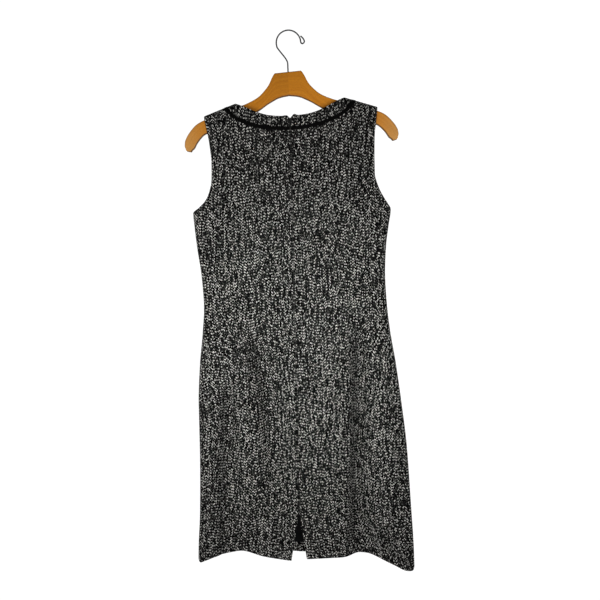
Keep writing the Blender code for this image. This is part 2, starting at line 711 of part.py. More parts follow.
def make_zip_pull():
    """Flat tab, hung by the bar above its window; its origin is the hinge axis."""
    outline = (
        (-PULL_HEAD_HALF_WIDE, PULL_BAR_HALF),
        (PULL_HEAD_HALF_WIDE, PULL_BAR_HALF),
        (PULL_HEAD_HALF_WIDE, -PULL_WINDOW_FOOT),
        (PULL_HALF_WIDE, -PULL_NECK),
        (PULL_HALF_WIDE, -PULL_LONG + PULL_CORNER_TALL),
        (PULL_HALF_WIDE - PULL_CORNER_WIDE, -PULL_LONG),
        (-PULL_HALF_WIDE + PULL_CORNER_WIDE, -PULL_LONG),
        (-PULL_HALF_WIDE, -PULL_LONG + PULL_CORNER_TALL),
        (-PULL_HALF_WIDE, -PULL_NECK),
        (-PULL_HEAD_HALF_WIDE, -PULL_WINDOW_FOOT),
    )
    work = bmesh.new()
    flat = [work.verts.new((x, -PULL_THICK / 2, z)) for x, z in outline]
    face = work.faces.new(flat)
    grown = bmesh.ops.extrude_face_region(work, geom=[face])
    moved = [v for v in grown["geom"] if isinstance(v, bmesh.types.BMVert)]
    bmesh.ops.translate(work, verts=moved, vec=(0.0, PULL_THICK, 0.0))
    bmesh.ops.recalc_face_normals(work, faces=work.faces)
    mesh = bpy.data.meshes.new("zip_pull")
    work.to_mesh(mesh)
    work.free()
    pull = add_object("zip_pull", mesh, "black_metal")
    hinge = Vector((0.0, slider_face_y() - PULL_AXIS_OFF, SLIDER_Z))
    pull.location = hinge
    tall = PULL_WINDOW_FOOT - PULL_BAR_HALF
    size = (2 * PULL_WINDOW_HALF, 3 * PULL_THICK, tall)
    middle = hinge + Vector((0.0, 0.0, -PULL_BAR_HALF - tall / 2))
    add_boolean(pull, "DIFFERENCE", make_cutter("pull_window", size, middle))
    return pull


def main():
    for old in list(bpy.data.objects):
        bpy.data.objects.remove(old, do_unlink=True)
    make_panels()
    make_neck("neck_band", SEAM_GAP / 2, None, NECK_ROWS, 0.0, BAND_WALL, "tweed")
    make_neck("neck_trim", -TRIM_HALF_WIDE, TRIM_HALF_WIDE, NECK_ROWS, -LAY - TRIM_WALL, -LAY, "trim")
    make_lining()
    make_zip_tape()
    make_hanger_half("hanger_left", -1)
    make_hanger_half("hanger_right", 1)
    make_hook()
    make_zip_slider()
    make_zip_pull()


main()
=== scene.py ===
"""A sleeveless tweed sheath dress on a wooden hanger, finished in full detail.

Metres, +Z up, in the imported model's frame: the origin is the inside of the hook's
top, -Y is the back of the dress with its zip and kick slit, +X is the wearer's right.
Each sub-assembly is a class that builds its meshes from numpy grids and dresses them.
"""

from __future__ import annotations

import logging
import math
from dataclasses import dataclass, field
from enum import Enum
from typing import Any

import bpy
import numpy as np
from mathutils import Matrix, Vector

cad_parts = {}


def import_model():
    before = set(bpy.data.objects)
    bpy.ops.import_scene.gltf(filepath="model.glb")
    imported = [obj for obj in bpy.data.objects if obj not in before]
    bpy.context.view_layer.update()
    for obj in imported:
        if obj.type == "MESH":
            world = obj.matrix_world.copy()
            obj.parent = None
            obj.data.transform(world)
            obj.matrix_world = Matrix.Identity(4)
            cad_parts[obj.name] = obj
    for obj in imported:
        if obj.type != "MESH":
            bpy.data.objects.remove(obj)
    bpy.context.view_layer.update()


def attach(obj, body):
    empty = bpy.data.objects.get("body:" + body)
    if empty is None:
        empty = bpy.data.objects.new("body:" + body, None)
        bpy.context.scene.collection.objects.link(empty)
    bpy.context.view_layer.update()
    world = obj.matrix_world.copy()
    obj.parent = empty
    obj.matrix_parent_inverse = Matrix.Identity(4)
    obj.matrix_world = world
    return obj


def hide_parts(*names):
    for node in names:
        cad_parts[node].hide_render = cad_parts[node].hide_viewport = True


SHARP_EDGE = math.radians(50.0)
DOME_TURN = math.radians(80.0)
LOG = logging.getLogger("sheath_dress")

Array = np.ndarray
Socket = bpy.types.NodeSocket
Material = bpy.types.Material
Object = bpy.types.Object
Triple = tuple[float, float, float]
Colour = Triple
Table = tuple[tuple[float, ...], ...]


class Panel(Enum):
    """The face of the dress that a piece belongs to; its value is the way out along Y."""

    BACK = -1.0
    FRONT = 1.0


class Side(Enum):
    """A half of the dress; its value is the way out along X."""

    LEFT = -1
    RIGHT = 1


class Body(Enum):
    """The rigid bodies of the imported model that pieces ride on."""

    DRESS = "dress_and_hanger"
    PULL = "zip_pull"


class Slot(Enum):
    """Material slots of the record."""

    TWEED = "tweed"
    TRIM = "trim"
    LINING = "lining"
    ZIP_TAPE = "zip_tape"
    ZIP_METAL = "zip_metal"
    WOOD = "wood"
    HOOK_STEEL = "hook_steel"


# ---------------- curves and grids
def smooth(x: Array, knots: Array, values: Array) -> Array:
    """Smooth curve through a table, which never rises or falls past its rows.

    Formula: a cubic between each two rows, whose slope at a row is the harmonic mean
    of the slopes on both sides, or level where they turn.

    Args:
        x: where to read the curve.
        knots: the table's places, rising or falling.
        values: the table's heights.

    Returns:
        The curve's height at every x.
    """
    knots = np.asarray(knots, dtype=float)
    values = np.asarray(values, dtype=float)
    if knots[0] > knots[-1]:
        knots = knots[::-1]
        values = values[::-1]
    step = np.diff(knots)
    slope = np.diff(values) / step
    tangent = np.zeros_like(values)
    same_way = slope[:-1] * slope[1:] > 0.0
    before = np.where(same_way, slope[:-1], 1.0)
    after = np.where(same_way, slope[1:], 1.0)
    tangent[1:-1] = np.where(same_way, 2.0 * before * after / (before + after), 0.0)
    tangent[0] = slope[0]
    tangent[-1] = slope[-1]
    x = np.clip(np.asarray(x, dtype=float), knots[0], knots[-1])
    at = np.clip(np.searchsorted(knots, x, side="right") - 1, 0, len(step) - 1)
    width = step[at]
    t = (x - knots[at]) / width
    rise = 3.0 * t**2 - 2.0 * t**3
    bend_in = (t**3 - 2.0 * t**2 + t) * width * tangent[at]
    bend_out = (t**3 - t**2) * width * tangent[at + 1]
    return values[at] * (1.0 - rise) + values[at + 1] * rise + bend_in + bend_out


def smoothstep(x: Array, low: float, high: float) -> Array:
    """Returns 0 below low and 1 above high, with an S between."""
    t = np.clip((x - low) / (high - low), 0.0, 1.0)
    return t * t * (3.0 - 2.0 * t)


def unit(vectors: Array) -> Array:
    """Returns the vectors at length 1."""
    long = np.linalg.norm(vectors, axis=-1, keepdims=True)
    return vectors / np.maximum(long, 1e-12)


def grid_normals(points: Array) -> Array:
    """Unit normals of a grid: the cross product of its two directions.

    Args:
        points: rows x columns x 3.

    Returns:
        Normals of the same shape.
    """
    along = np.gradient(points, axis=0)
    across = np.gradient(points, axis=1)
    return unit(np.cross(across, along))


def run_length(points: Array, axis: int) -> Array:
    """Arc length along one direction of a grid, 0 at its first line.

    Args:
        points: rows x columns x 3, or one line of points.
        axis: the direction to measure along.

    Returns:
        The length run at every point.
    """
    step = np.linalg.norm(np.diff(points, axis=axis), axis=-1)
    start = np.zeros_like(np.take(step, [0], axis=axis))
    return np.concatenate([start, np.cumsum(step, axis=axis)], axis=axis)


def closed(rows: Array) -> Array:
    """Every row with its first item again at its end."""
    return np.concatenate([rows, rows[:, :1]], axis=1)


def joined(left: tuple[Array, ...], right: tuple[Array, ...]) -> tuple[Array, ...]:
    """Grids of a left and a right half as whole ones, which share their centre column."""
    return tuple(np.concatenate([a[:, ::-1], b[:, 1:]], axis=1) for a, b in zip(left, right))


def quads(first: Array, second: Array) -> Array:
    """Faces between two lines of vertex numbers, or between the lines of a grid.

    Args:
        first: numbers of one line, or of a grid's rows but the last.
        second: numbers of the next line, or of its rows but the first.

    Returns:
        Faces x 4, in order round each face.
    """
    parts = (first[..., :-1], first[..., 1:], second[..., 1:], second[..., :-1])
    return np.stack([part.reshape(-1) for part in parts], axis=1)


def signed_volume(points: Array, faces: Array) -> float:
    """Volume inside a closed mesh of quads.

    Args:
        points: vertices x 3.
        faces: faces x 4 vertex numbers.

    Returns:
        The volume, negative if the mesh is inside out.
    """
    a, b, c, d = (points[faces[:, k]] for k in range(4))
    first = np.einsum("ij,ij->i", a, np.cross(b, c))
    second = np.einsum("ij,ij->i", a, np.cross(c, d))
    return float((first + second).sum() / 6.0)


def add_mesh(name: str, points: Array, faces: Array, uv: Array, finish: Array) -> Object:
    """Puts a mesh of quads into the scene, facing outwards.

    Args:
        name: the object's name.
        points: vertices x 3.
        faces: faces x 4 vertex numbers.
        uv: faces x 4 x 2, in metres of the material.
        finish: the material's number of each face.

    Returns:
        The new object, smooth but for its sharp edges.
    """
    if signed_volume(points, faces) < 0.0:
        faces = faces[:, ::-1]
        uv = uv[:, ::-1]
    mesh = bpy.data.meshes.new(name)
    mesh.vertices.add(len(points))
    mesh.vertices.foreach_set("co", points.astype(np.float32).ravel())
    mesh.loops.add(faces.size)
    mesh.loops.foreach_set("vertex_index", faces.astype(np.int32).ravel())
    mesh.polygons.add(len(faces))
    mesh.polygons.foreach_set("loop_start", np.arange(0, faces.size, 4, dtype=np.int32))
    mesh.polygons.foreach_set("material_index", finish.astype(np.int32))
    mesh.update(calc_edges=True)
    layer = mesh.uv_layers.new(name="cloth")
    layer.data.foreach_set("uv", uv.astype(np.float32).ravel())
    mesh.validate()
    mesh.shade_smooth()
    mesh.set_sharp_from_angle(angle=SHARP_EDGE)
    made = bpy.data.objects.new(name, mesh)
    bpy.context.collection.objects.link(made)
    return made


@dataclass
class Shell:
    """A closed sheet of cloth: a face grid, its back, and a rounded rim between.

    Formula: the back is the face moved inwards along its normal by the thickness. The
    rim is a half round of that thickness, flattened where its roundness is below 1.

    Attributes:
        face: points of the outer face, rows x columns x 3.
        thickness: of the cloth at every point.
        roundness: how far the rim swells out at every border point, 0 to 1.
        uv: cloth coordinates of every point, in metres.
        back_finish: number of the back's material at every point.
        rim_steps: faces across the rim.
    """

    face: Array
    thickness: Array
    roundness: Array
    uv: Array
    back_finish: Array
    rim_steps: int = 6

    @staticmethod
    def border(rows: int, columns: int) -> tuple[Array, Array]:
        """Once round a grid's border, starting along row 0.

        Args:
            rows: the grid's rows.
            columns: the grid's columns.

        Returns:
            Row and column numbers of the border's points.
        """
        across = np.arange(columns)
        along = np.arange(rows)
        row = [np.zeros(columns, int), along[1:], np.full(columns - 1, rows - 1), along[-2:0:-1]]
        column = [across, np.full(rows - 1, columns - 1), across[-2::-1], np.zeros(rows - 2, int)]
        return np.concatenate(row), np.concatenate(column)

    def build(self, name: str, panel: Panel) -> Object:
        """Makes the closed mesh.

        Args:
            name: the object's name.
            panel: the face of the dress, whose hollow the wall grows towards.

        Returns:
            The new object.
        """
        rows, columns = self.face.shape[:2]
        count = rows * columns
        normal = grid_normals(self.face)
        normal *= -panel.value * np.sign(normal[..., 1].sum())
        back = self.face + normal * self.thickness[..., None]
        row, column = self.border(rows, columns)
        near = np.clip(row, 1, rows - 2), np.clip(column, 1, columns - 2)
        edge = self.face[row, column]
        down = normal[row, column]
        out = edge - self.face[near]
        out = unit(out - down * np.sum(out * down, axis=-1, keepdims=True))
        half = self.thickness[row, column] / 2.0
        turn = np.radians(90.0) - np.pi * np.arange(1, self.rim_steps) / self.rim_steps
        sink = half * (1.0 - np.sin(turn)[:, None])
        swell = half * self.roundness[row, column] * np.cos(turn)[:, None]
        rings = edge + down * sink[..., None] + out * swell[..., None]
        points = np.concatenate([part.reshape(-1, 3) for part in (self.face, back, rings)])

        number = np.arange(count).reshape(rows, columns)
        face_quads = quads(number[:-1], number[1:])
        back_quads = face_quads[:, ::-1] + count
        size = len(row)
        loop = number[row, column]
        middle = 2 * count + np.arange((self.rim_steps - 1) * size).reshape(-1, size)
        lines = closed(np.concatenate([loop[None], middle, loop[None] + count]))
        rim_quads = quads(lines[1:], lines[:-1])

        flat = self.uv.reshape(-1, 2)
        out_uv = unit(self.uv[row, column] - self.uv[near])
        arc = np.pi / self.rim_steps * np.arange(self.rim_steps + 1)[:, None] * half
        rim_uv = closed(self.uv[row, column] + out_uv * arc[..., None]).reshape(-1, 2)
        places = np.arange((self.rim_steps + 1) * (size + 1)).reshape(-1, size + 1)
        rim_uv = rim_uv[quads(places[1:], places[:-1])]
        uv = np.concatenate([flat[face_quads], flat[face_quads[:, ::-1]], rim_uv])
        faces = np.concatenate([face_quads, back_quads, rim_quads])
        finish = np.zeros(len(faces), int)
        finish[len(face_quads) : 2 * len(face_quads)] = self.back_finish[:-1, :-1].reshape(-1)
        return add_mesh(name, points, faces, uv, finish)


@dataclass
class Solid:
    """A closed solid of quads, which may be of several closed parts.

    Attributes:
        points: vertices x 3.
        faces: faces x 4 vertex numbers.
        uv: faces x 4 x 2, in metres of the material.
    """

    points: Array
    faces: Array
    uv: Array

    @classmethod
    def loft(cls, rings: Array, across: Array, looped: bool = False) -> Solid:
        """A solid through a row of closed rings.

        Formula: each ring joins the next; the two ends are filled by strips across
        them, or the last ring joins the first. The material's u is the length along
        the rings' middles.

        Args:
            rings: rings x points x 3, an even number of points.
            across: rings x (points + 1), the material's v.
            looped: True if the row of rings closes on itself.

        Returns:
            The solid.
        """
        count = rings.shape[1]
        number = np.arange(rings.shape[0] * count).reshape(-1, count)
        along = run_length(rings.mean(axis=1), 0)[:, None]
        uv = np.stack(np.broadcast_arrays(along, across), axis=-1)
        places = np.arange(uv.shape[0] * (count + 1)).reshape(-1, count + 1)
        wrapped = closed(number)
        sides = quads(wrapped[:-1], wrapped[1:])
        side_uv = uv.reshape(-1, 2)[quads(places[:-1], places[1:])]
        if looped:
            ends = quads(wrapped[-1:], wrapped[:1])
            end_uv = uv.reshape(-1, 2)[quads(places[-1:], places[-1:])]
        else:
            k = np.arange(count // 2 - 1)
            strip = np.stack([k, k + 1, count - 2 - k, count - 1 - k], axis=1)
            ends = np.concatenate([strip[:, ::-1], strip + number[-1, 0]])
            end_uv = np.concatenate([uv[0][strip[:, ::-1]], uv[-1][strip]])
        faces = np.concatenate([sides, ends])
        return cls(rings.reshape(-1, 3), faces, np.concatenate([side_uv, end_uv]))

    def __add__(self, other: Solid) -> Solid:
        """Both solids as one.

        Args:
            other: the solid to add.

        Returns:
            A solid of all their closed parts.
        """
        faces = np.concatenate([self.faces, other.faces + len(self.points)])
        points = np.concatenate([self.points, other.points])
        return Solid(points, faces, np.concatenate([self.uv, other.uv]))

    def outward(self) -> Solid:
        """Turns the faces outwards.

        Returns:
            The same solid, or one with all its faces turned round.
        """
        if signed_volume(self.points, self.faces) > 0.0:
            return self
        return Solid(self.points, self.faces[:, ::-1], self.uv[:, ::-1])

    def add(self, name: str) -> Object:
        """Puts the solid into the scene."""
        return add_mesh(name, self.points, self.faces, self.uv, np.zeros(len(self.faces), int))


@dataclass(frozen=True)
class RoundedBar:
    """The section of a flat bar with rounded edges, as a ring of points."""

    corner_steps: int = 7
    flat_steps: int = 6

    def ring(self) -> tuple[Array, Array, Array]:
        """Once round the section: right, top, left, foot.

        Returns:
            The corner's sign across and in depth, and the turn, at every point.
        """
        turn = np.linspace(0.0, 90.0, self.corner_steps)
        flat = np.linspace(1.0, -1.0, self.flat_steps + 2)[1:-1]
        corner, side = np.ones(self.corner_steps), np.ones(self.flat_steps)
        wide = [corner, flat, -corner, -corner, -flat, corner]
        deep = [corner, side, corner, -corner, -side, -corner]
        angle = [turn, 90.0 * side, turn + 90.0, turn + 180.0, 270.0 * side, turn + 270.0]
        return np.concatenate(wide), np.concatenate(deep), np.radians(np.concatenate(angle))

    def sections(self, half_wide: Array, half_deep: Array, edge: Array) -> tuple[Array, Array]:
        """Places across the width and the depth of a row of sections.

        Args:
            half_wide: half width of each section.
            half_deep: half depth of each section.
            edge: radius of each section's edges.

        Returns:
            Two arrays, sections x points.
        """
        wide, deep, angle = self.ring()
        half_wide, half_deep, edge = (np.asarray(a)[:, None] for a in (half_wide, half_deep, edge))
        across = wide * (half_wide - edge) + edge * np.cos(angle)
        return across, deep * (half_deep - edge) + edge * np.sin(angle)


def domed(rings: Array, way: Array, depth: float, steps: int = 5) -> Array:
    """Adds rings that close a row with a dome.

    Args:
        rings: rings x points x 3.
        way: unit vector out of the last ring.
        depth: how far the dome stands out.
        steps: number of rings added.

    Returns:
        The longer row of rings.
    """
    turn = DOME_TURN * np.arange(1, steps + 1)[:, None, None] / steps
    centre = rings[-1].mean(axis=0)
    dome = centre + (rings[-1] - centre) * np.cos(turn) + way * depth * np.sin(turn)
    return np.concatenate([rings, dome])


def curve_through(places: Array, steps: int) -> Array:
    """A smooth line through places.

    Formula: a Catmull-Rom cubic between each two places, whose slope at a place is
    half the way from the one before it to the one after it.

    Args:
        places: rows x 2 or 3.
        steps: points from each place to the next.

    Returns:
        The line's points, the last place among them.
    """
    ends = np.concatenate([2.0 * places[:1] - places[1:2], places, 2.0 * places[-1:] - places[-2:-1]])
    before, near, far, after = ends[:-3, None], ends[1:-2, None], ends[2:-1, None], ends[3:, None]
    t = (np.arange(steps) / steps)[None, :, None]
    bend = (2.0 * before - 5.0 * near + 4.0 * far - after) * t**2
    twist = (3.0 * near - before - 3.0 * far + after) * t**3
    line = 0.5 * (2.0 * near + (far - before) * t + bend + twist)
    return np.concatenate([line.reshape(-1, places.shape[1]), places[-1:]])


def wire_rings(line: Array, radius: float, around: int, upright: Array) -> Array:
    """Round rings along a line.

    Args:
        line: places x 3.
        radius: of the wire.
        around: points in each ring.
        upright: a direction that the line never runs along.

    Returns:
        Rings x points x 3.
    """
    run = unit(np.gradient(line, axis=0))
    side = unit(np.cross(run, upright))
    up = np.cross(side, run)
    turn = 2.0 * np.pi * np.arange(around) / around
    spoke = side[:, None] * np.cos(turn)[:, None] + up[:, None] * np.sin(turn)[:, None]
    return line[:, None] + radius * spoke


# ---------------- the dress's form
def bell(offset: Array, half: Array, lean: float, power: float) -> Array:
    """A bell across a fold, steeper on one side.

    Formula: e to the power of minus |offset / half| ** power, with the half width made
    smaller on the left by the lean and greater on the right.

    Args:
        offset: distance from the fold's middle.
        half: half width of the fold.
        lean: from -1 to 1; above 0 the left flank is the steep one.
        power: 2 for a round bottom, more for a flat one.

    Returns:
        From 0 to 1, 1 at the middle.
    """
    own_half = half * (1.0 + lean * np.sign(offset))
    return np.exp(-np.abs(offset / own_half) ** power)


@dataclass(frozen=True)
class Fold:
    """A fold that grows from its top down to the hem.

    x is out of the centre line; a positive depth pushes in, a negative one stands out.
    """

    top_x: float
    top_z: float
    foot_x: float
    top_half: float
    foot_half: float
    depth: float
    power: float = 2.0
    lean: float = 0.0
    reach: float = 1.1

    def relief(self, x: Array, z: Array, foot_z: float) -> Array:
        """Depth of the fold: an S down its length times a bell across it.

        Args:
            x: out of the centre line.
            z: height.
            foot_z: height where it is full.

        Returns:
            How far the cloth is pushed in at every point.
        """
        along = np.clip((self.top_z - z) / (self.top_z - foot_z), 0.0, self.reach)
        middle = self.top_x + (self.foot_x - self.top_x) * along
        half = self.top_half + (self.foot_half - self.top_half) * along
        return self.depth * smoothstep(along, 0.0, 1.0) * bell(x - middle, half, self.lean, self.power)


@dataclass(frozen=True)
class Crease:
    """A soft trough or ridge along a line from one end to another.

    Ends 0 and 1 are the upper and the lower; rise and fall are the shares of its length
    that it takes to reach its depth and to fade.
    """

    x0: float
    z0: float
    x1: float
    z1: float
    half0: float
    half1: float
    depth: float
    lean: float = 0.0
    rise: float = 0.35
    fall: float = 0.35

    def relief(self, x: Array, z: Array) -> Array:
        """Depth of the crease.

        Formula: a bell across its line times an S at each end.

        Args:
            x: out of the centre line.
            z: height.

        Returns:
            How far the cloth is pushed in at every point.
        """
        run_x, run_z = self.x1 - self.x0, self.z1 - self.z0
        long = math.hypot(run_x, run_z)
        along = ((x - self.x0) * run_x + (z - self.z0) * run_z) / long**2
        offset = ((z - self.z0) * run_x - (x - self.x0) * run_z) / long
        half = self.half0 + (self.half1 - self.half0) * np.clip(along, 0.0, 1.0)
        ends = smoothstep(along, 0.0, self.rise) * (1.0 - smoothstep(along, 1.0 - self.fall, 1.0))
        return self.depth * ends * bell(offset, half, self.lean, 2.0)


@dataclass(frozen=True)
class ZipPucker:
    """The cloth that ripples beside the zip and dips along its seam."""

    deep: float = 0.0007
    long: float = 0.021
    sway: float = 1.7
    sway_long: float = 0.083
    strong: float = 0.55
    strong_long: float = 0.137
    strong_start: float = 0.8
    beside: float = 0.004
    half: float = 0.0065
    foot_z: float = -0.760
    full_z: float = -0.700
    valley: float = 0.0016
    valley_half: float = 0.0034

    def relief(self, x: Array, z: Array) -> Array:
        """Depth of the ripples and the dip.

        Formula: a sine down the seam, whose place and strength change slowly, times a
        bell beside the seam; and a bell over the seam itself.

        Args:
            x: out of the centre line.
            z: height.

        Returns:
            How far the cloth is pushed in at every point.
        """
        turn = z * 2.0 * np.pi
        wave = np.sin(turn / self.long + self.sway * np.sin(turn / self.sway_long))
        change = np.sin(turn / self.strong_long + self.strong_start)
        strength = self.strong + (1.0 - self.strong) * change
        beside = np.exp(-(((np.abs(x) - self.beside) / self.half) ** 2))
        ripples = self.deep * wave * strength * beside * smoothstep(z, self.foot_z, self.full_z)
        return ripples + self.valley * np.exp(-((x / self.valley_half) ** 2))


@dataclass(frozen=True)
class DressForm:
    """The shape of the hanging dress: where its edges run and how its cloth stands.

    Attributes:
        lay: clear space under the trim.
        slit_open: how far each half stands from the centre line at the hem.
        slit_reach: shares of the slit's length over which it goes on opening.
        lens_power: fullness of each face across its width.
        fold_edge_power: how near to the side seams the folds reach.
        fine_edge_power: how near to the side seams the small creases reach.
        fine_top_z: height of each face above which there are no small creases.
        fine_fade: height over which they fade there.
        uneven_turns: turns of the faint waves for each metre: across, its sway, down, its sway.
        uneven_sway: how far those two sway, in radians.
        inset_power: how near to the shoulder seam an inset lowers the neck line.
    """

    wall: float = 0.0020
    seam_gap: float = 0.0003
    lay: float = 0.00045
    underarm_z: float = -0.366
    waist_z: float = -0.560
    slit_top_z: float = -1.0007
    slit_hem_z: float = -1.1100
    slit_open: dict[Side, float] = field(default_factory=lambda: {Side.LEFT: 0.0180, Side.RIGHT: 0.0152})
    slit_reach: float = 1.2
    neck_point_out: float = 0.1120
    neck_point_z: float = -0.1396
    seam_point_out: float = 0.1325
    shoulder_slope: float = 0.3373
    arch: float = 0.014
    tilt: float = math.radians(2.0)
    tilt_full_z: float = -0.200
    notch_deep: float = 0.0048
    notch_share: float = 0.052
    lens_power: dict[Panel, float] = field(default_factory=lambda: {Panel.BACK: 5.5, Panel.FRONT: 2.2})
    fold_edge_power: int = 6
    fold_foot_z: float = -1.110
    fine_edge_power: int = 12
    fine_top_z: dict[Panel, float] = field(
        default_factory=lambda: {Panel.BACK: -0.215, Panel.FRONT: -0.265}
    )
    fine_fade: float = 0.02
    uneven_deep: float = 0.00045
    uneven_turns: tuple[float, ...] = (71.0, 23.0, 37.0, 31.0)
    uneven_sway: tuple[float, float] = (2.1, 1.3)
    inset_power: int = 6
    pucker: ZipPucker = ZipPucker()
    # z, left half width, right half width
    outline: Table = (
        (-0.150, 0.1785, 0.1812),
        (-0.162, 0.1778, 0.1805),
        (-0.190, 0.1728, 0.1775),
        (-0.220, 0.1680, 0.1738),
        (-0.260, 0.1650, 0.1728),
        (-0.295, 0.1660, 0.1732),
        (-0.320, 0.1712, 0.1805),
        (-0.340, 0.1805, 0.1908),
        (-0.355, 0.1950, 0.2005),
        (-0.366, 0.2068, 0.2058),
        (-0.400, 0.2045, 0.2010),
        (-0.440, 0.2008, 0.1955),
        (-0.500, 0.1935, 0.1925),
        (-0.560, 0.1908, 0.1952),
        (-0.620, 0.1955, 0.2014),
        (-0.690, 0.2036, 0.2125),
        (-0.770, 0.2083, 0.2227),
        (-0.870, 0.2087, 0.2333),
        (-1.000, 0.2118, 0.2400),
        (-1.080, 0.2170, 0.2438),
        (-1.133, 0.2188, 0.2448),
    )
    # z, back, front, edge half gap, edge round
    depths: Table = (
        (-0.135, 0.0155, 0.0150, 0.0086, 1.0),
        (-0.172, 0.0190, 0.0200, 0.0088, 1.0),
        (-0.200, 0.0197, 0.0240, 0.0092, 1.0),
        (-0.260, 0.0220, 0.0320, 0.0095, 1.0),
        (-0.310, 0.0240, 0.0375, 0.0085, 1.1),
        (-0.340, 0.0248, 0.0395, 0.0055, 1.4),
        (-0.366, 0.0250, 0.0400, 0.00015, 1.8),
        (-0.440, 0.0245, 0.0360, 0.00015, 2.0),
        (-0.560, 0.0220, 0.0240, 0.00015, 2.0),
        (-0.690, 0.0270, 0.0290, 0.00015, 2.0),
        (-0.870, 0.0300, 0.0300, 0.00015, 2.0),
        (-1.000, 0.0315, 0.0260, 0.00015, 2.0),
        (-1.133, 0.0320, 0.0210, 0.00015, 2.0),
    )
    # z, left y, right y
    side_seams: Table = (
        (-0.135, 0.000, 0.000),
        (-0.560, 0.000, 0.000),
        (-0.690, -0.003, -0.004),
        (-0.870, -0.010, -0.014),
        (-1.000, -0.018, -0.025),
        (-1.133, -0.025, -0.036),
    )
    # share, back left z, back right z, front left z, front right z
    hem: Table = (
        (0.00, -1.1115, -1.1080, -1.1100, -1.1100),
        (0.30, -1.1045, -1.1045, -1.1060, -1.1080),
        (0.56, -1.0920, -1.0995, -1.1010, -1.1060),
        (0.80, -1.0950, -1.1190, -1.1050, -1.1180),
        (0.93, -1.1045, -1.1315, -1.1065, -1.1290),
        (0.98, -1.1090, -1.1325, -1.1085, -1.1320),
        (1.00, -1.1040, -1.1260, -1.1040, -1.1260),
    )
    # share, back edge z, back seam z, front edge z, front seam z
    neck: Table = (
        (0.00, -0.1722, -0.1980, -0.2280, -0.2535),
        (0.20, -0.1713, -0.1965, -0.2255, -0.2505),
        (0.40, -0.1682, -0.1930, -0.2180, -0.2420),
        (0.60, -0.1609, -0.1855, -0.2035, -0.2260),
        (0.80, -0.1502, -0.1740, -0.1800, -0.2010),
        (0.93, -0.1432, -0.1605, -0.1560, -0.1710),
        (1.00, -0.1396, -0.1465, -0.1396, -0.1465),
    )
    back_folds: tuple[Fold, ...] = (
        Fold(0.137, -0.560, 0.128, 0.014, 0.034, 0.022, 2.0, 0.40),
        Fold(-0.148, -0.640, -0.120, 0.014, 0.050, 0.021, 2.0, 0.35),
        Fold(0.196, -0.900, 0.196, 0.012, 0.020, 0.004),
    )
    front_folds: tuple[Fold, ...] = (
        Fold(0.105, -0.620, 0.118, 0.016, 0.052, -0.018),
        Fold(-0.100, -0.600, -0.112, 0.016, 0.050, -0.016),
        Fold(0.020, -0.800, 0.030, 0.014, 0.034, 0.006),
    )
    back_creases: tuple[Crease, ...] = (
        Crease(-0.088, -0.540, -0.026, -1.020, 0.034, 0.052, 0.0200, 0.30, 0.25, 0.50),
        Crease(-0.081, -0.610, -0.037, -1.080, 0.017, 0.026, 0.0160, 0.40, 0.16, 0.30),
        Crease(-0.113, -0.620, -0.116, -0.900, 0.016, 0.020, -0.0055, 0.00, 0.35, 0.50),
        Crease(-0.144, -0.660, -0.164, -1.115, 0.016, 0.020, 0.0210, 0.40, 0.30, 0.08),
        Crease(-0.179, -0.700, -0.184, -0.860, 0.010, 0.010, -0.0030),
        Crease(0.142, -0.560, 0.130, -1.080, 0.014, 0.024, 0.0085, 0.45, 0.25, 0.35),
        Crease(0.1345, -0.590, 0.1175, -1.110, 0.0125, 0.0165, 0.0215, 0.20, 0.16, 0.16),
        Crease(0.092, -0.520, 0.094, -0.820, 0.024, 0.026, -0.0080, -0.30, 0.45, 0.50),
        Crease(0.070, -0.780, 0.062, -1.000, 0.018, 0.020, -0.0040, 0.00, 0.45, 0.45),
        Crease(0.198, -0.780, 0.184, -1.095, 0.013, 0.016, -0.0060, 0.00, 0.35, 0.20),
        Crease(0.184, -0.350, 0.178, -0.600, 0.018, 0.022, -0.0050, 0.45, 0.45, 0.45),
        Crease(0.014, -0.255, 0.017, -0.460, 0.015, 0.020, 0.0050, 0.40, 0.45, 0.40),
        Crease(0.066, -0.350, 0.062, -0.500, 0.017, 0.018, 0.0032, 0.30, 0.45, 0.45),
        Crease(0.058, -0.225, 0.052, -0.345, 0.018, 0.018, -0.0026, 0.30, 0.45, 0.45),
        Crease(0.150, -0.250, 0.154, -0.410, 0.017, 0.018, 0.0036, 0.30, 0.45, 0.45),
        Crease(0.150, -0.555, 0.142, -0.410, 0.020, 0.016, -0.0034, 0.20, 0.45, 0.45),
        Crease(-0.186, -0.335, -0.140, -0.410, 0.007, 0.010, -0.0018),
        Crease(-0.160, -0.480, -0.080, -0.488, 0.008, 0.008, 0.0018),
        Crease(-0.150, -0.870, -0.055, -0.835, 0.009, 0.010, -0.0016),
    )
    front_creases: tuple[Crease, ...] = (
        Crease(-0.128, -0.600, -0.142, -1.060, 0.015, 0.021, 0.0075, 0.45, 0.25, 0.30),
        Crease(0.086, -0.560, 0.058, -1.090, 0.017, 0.023, 0.0065, -0.40, 0.25, 0.40),
        Crease(0.010, -0.700, 0.024, -1.060, 0.016, 0.020, -0.0040, 0.20, 0.40, 0.40),
        Crease(-0.030, -0.250, -0.022, -0.470, 0.015, 0.020, 0.0035, 0.30, 0.45, 0.45),
        Crease(0.150, -0.470, 0.080, -0.490, 0.009, 0.009, 0.0016),
    )

    def read(self, table: str, at: Array, column: int) -> Array:
        """One of the form's tables as a smooth curve over its first column.

        Args:
            table: the table's name.
            at: where to read the curve.
            column: the column to read.

        Returns:
            The column's value at every place.
        """
        rows = np.array(getattr(self, table))
        return smooth(at, rows[:, 0], rows[:, column])

    def half_width(self, side: Side, z: Array) -> Array:
        """Distance from the centre line to the side edge at a height."""
        return self.read("outline", z, 1 if side is Side.LEFT else 2)

